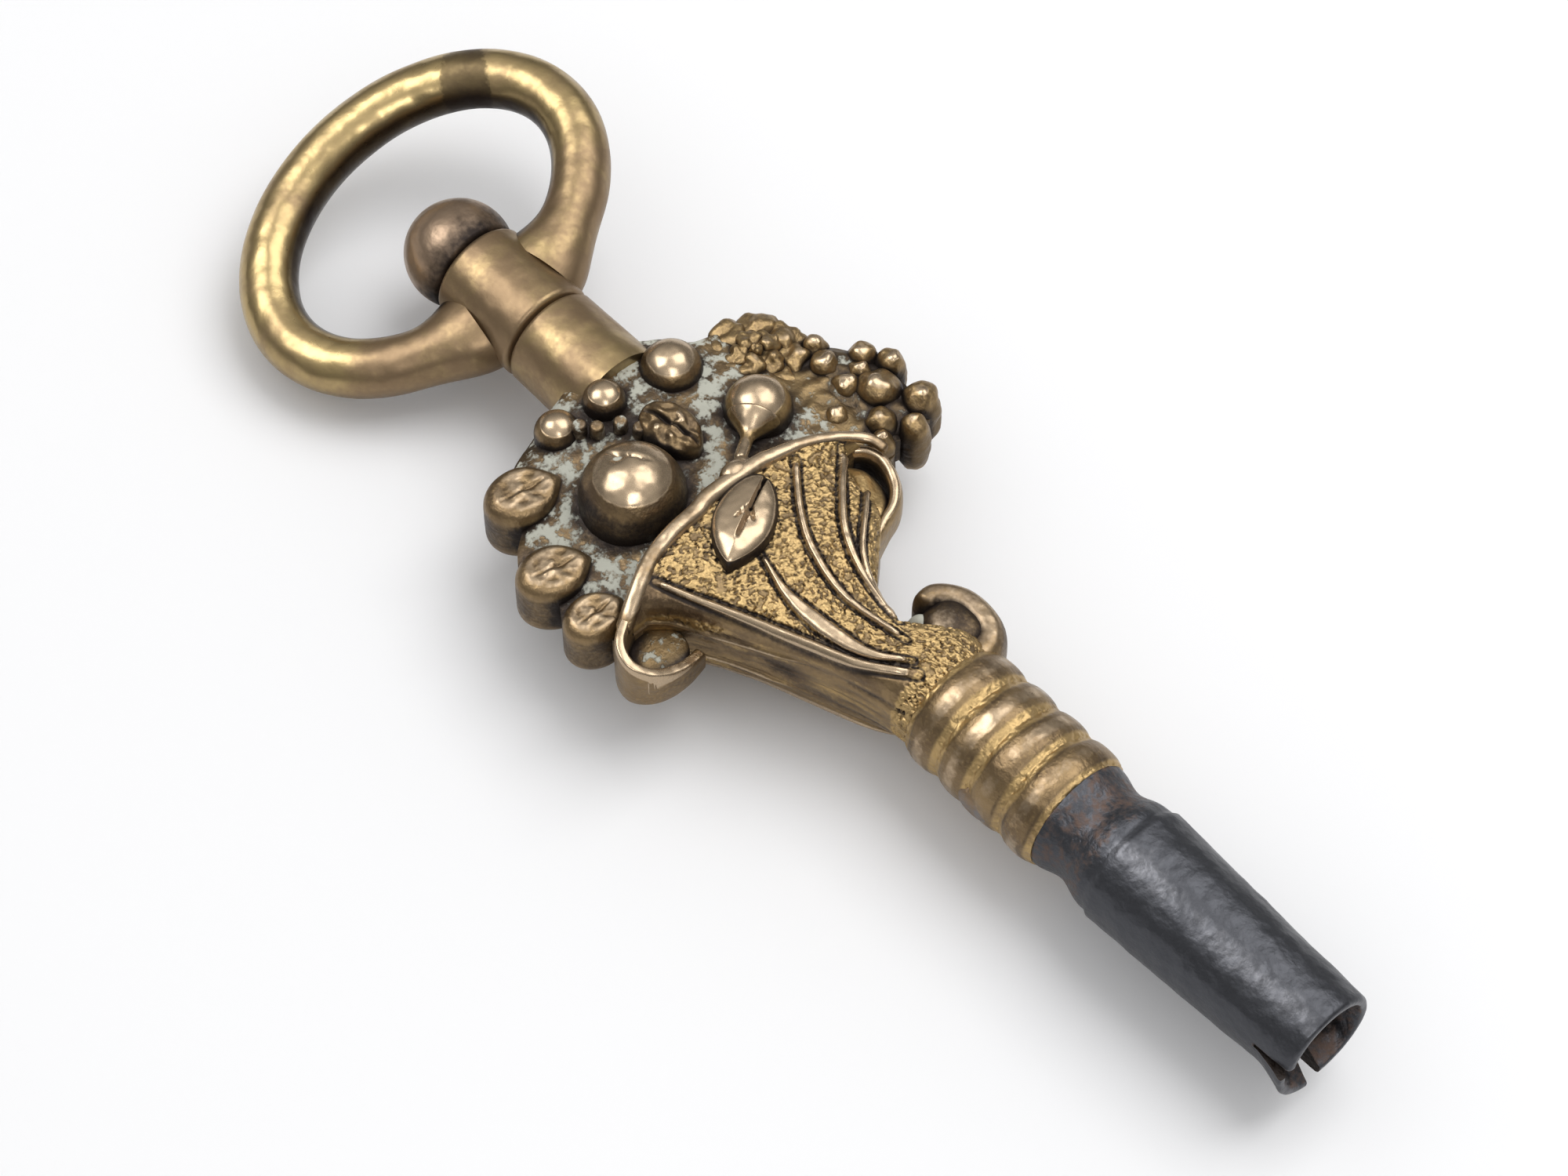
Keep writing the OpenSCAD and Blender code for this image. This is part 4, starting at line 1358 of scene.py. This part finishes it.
class WINDING_KEY_OT_pipe(KeyOperator):
    """Make the steel pipe with its split mouth"""
    bl_idname = "winding_key.pipe"
    bl_label = "Pipe"

    def execute(self, context):
        make_pipe(context.scene.winding_key_pipe)
        return {"FINISHED"}


class WINDING_KEY_OT_pin(KeyOperator):
    """Make the cross pin"""
    bl_idname = "winding_key.pin"
    bl_label = "Cross Pin"

    def execute(self, context):
        make_pin(context.scene.winding_key_pipe)
        return {"FINISHED"}


class WINDING_KEY_OT_ferrule(KeyOperator):
    """Make the ribbed ferrule"""
    bl_idname = "winding_key.ferrule"
    bl_label = "Ferrule"

    def execute(self, context):
        make_ferrule(context.scene.winding_key_pipe)
        return {"FINISHED"}


class WINDING_KEY_OT_horn(KeyOperator):
    """Make both halves of the struck horn and their filling"""
    bl_idname = "winding_key.horn"
    bl_label = "Horn Halves"

    def execute(self, context):
        make_horn(context.scene.winding_key_horn)
        make_fill()
        return {"FINISHED"}


class WINDING_KEY_OT_scrolls(KeyOperator):
    """Make the tail's curl and the scrolls at the rim's ends"""
    bl_idname = "winding_key.scrolls"
    bl_label = "Curl and Scrolls"

    def execute(self, context):
        make_curl()
        make_left_scroll(context.scene.winding_key_horn)
        make_right_scroll(context.scene.winding_key_horn)
        return {"FINISHED"}


class WINDING_KEY_OT_fruit(KeyOperator):
    """Make both halves of the heap of fruit"""
    bl_idname = "winding_key.fruit"
    bl_label = "Fruit Halves"

    def execute(self, context):
        make_fruit(context.scene.winding_key_fruit)
        return {"FINISHED"}


class WINDING_KEY_OT_swivel(KeyOperator):
    """Make the neck and the button, and dress the post"""
    bl_idname = "winding_key.swivel"
    bl_label = "Neck and Button"

    def execute(self, context):
        make_neck(context.scene.winding_key_bow)
        make_button(context.scene.winding_key_bow)
        dress_post()
        return {"FINISHED"}


class WINDING_KEY_OT_bow(KeyOperator):
    """Make the collar and the oval bow"""
    bl_idname = "winding_key.bow"
    bl_label = "Collar and Bow"

    def execute(self, context):
        make_collar(context.scene.winding_key_bow)
        make_ring(context.scene.winding_key_bow)
        return {"FINISHED"}


class WINDING_KEY_OT_stage(KeyOperator):
    """Make the floor, the light and the camera"""
    bl_idname = "winding_key.stage"
    bl_label = "Stage"

    def execute(self, context):
        stage = context.scene.winding_key_stage
        context.scene.view_settings.view_transform = "Standard"
        make_floor(stage)
        make_sky(stage)
        make_lamp("roof_lamp", (0.1, 0.45, 0.9), 0.3, 0.22, stage.roof_power)
        make_lamp("front_lamp", (0.5, -0.36, 0.7), 0.35, 0.1, stage.front_power, False)
        make_lamp("side_lamp", (-0.45, -0.33, 0.83), 0.35, 0.2, stage.side_power, False)
        make_camera(stage)
        return {"FINISHED"}


GROUPS = {
    "winding_key_pipe": WindingKeyPipe,
    "winding_key_horn": WindingKeyHorn,
    "winding_key_fruit": WindingKeyFruit,
    "winding_key_bow": WindingKeyBow,
    "winding_key_colours": WindingKeyColours,
    "winding_key_stage": WindingKeyStage,
}
OPERATORS = [WINDING_KEY_OT_pipe, WINDING_KEY_OT_pin, WINDING_KEY_OT_ferrule, WINDING_KEY_OT_horn,
             WINDING_KEY_OT_scrolls, WINDING_KEY_OT_fruit, WINDING_KEY_OT_swivel, WINDING_KEY_OT_bow,
             WINDING_KEY_OT_stage]


class WINDING_KEY_PT_panel(bpy.types.Panel):
    """Lists the key's pieces and their sizes"""
    bl_idname = "WINDING_KEY_PT_panel"
    bl_label = "Winding Key"
    bl_space_type = "VIEW_3D"
    bl_region_type = "UI"
    bl_category = "Winding Key"

    def draw(self, context):
        for operator in OPERATORS:
            self.layout.operator(operator.bl_idname)
        for group, kind in GROUPS.items():
            box = self.layout.box()
            for name in kind.__annotations__:
                box.prop(getattr(context.scene, group), name)


def register():
    for kind in [*GROUPS.values(), *OPERATORS, WINDING_KEY_PT_panel]:
        bpy.utils.register_class(kind)
    for group, kind in GROUPS.items():
        setattr(bpy.types.Scene, group, PointerProperty(type=kind))


def unregister():
    for group in GROUPS:
        delattr(bpy.types.Scene, group)
    for kind in reversed([*GROUPS.values(), *OPERATORS, WINDING_KEY_PT_panel]):
        bpy.utils.unregister_class(kind)


def main():
    register()
    bpy.ops.winding_key.pipe()
    bpy.ops.winding_key.pin()
    bpy.ops.winding_key.ferrule()
    bpy.ops.winding_key.horn()
    bpy.ops.winding_key.scrolls()
    bpy.ops.winding_key.fruit()
    bpy.ops.winding_key.swivel()
    bpy.ops.winding_key.bow()
    bpy.ops.winding_key.stage()


if __name__ == "__main__":
    main()
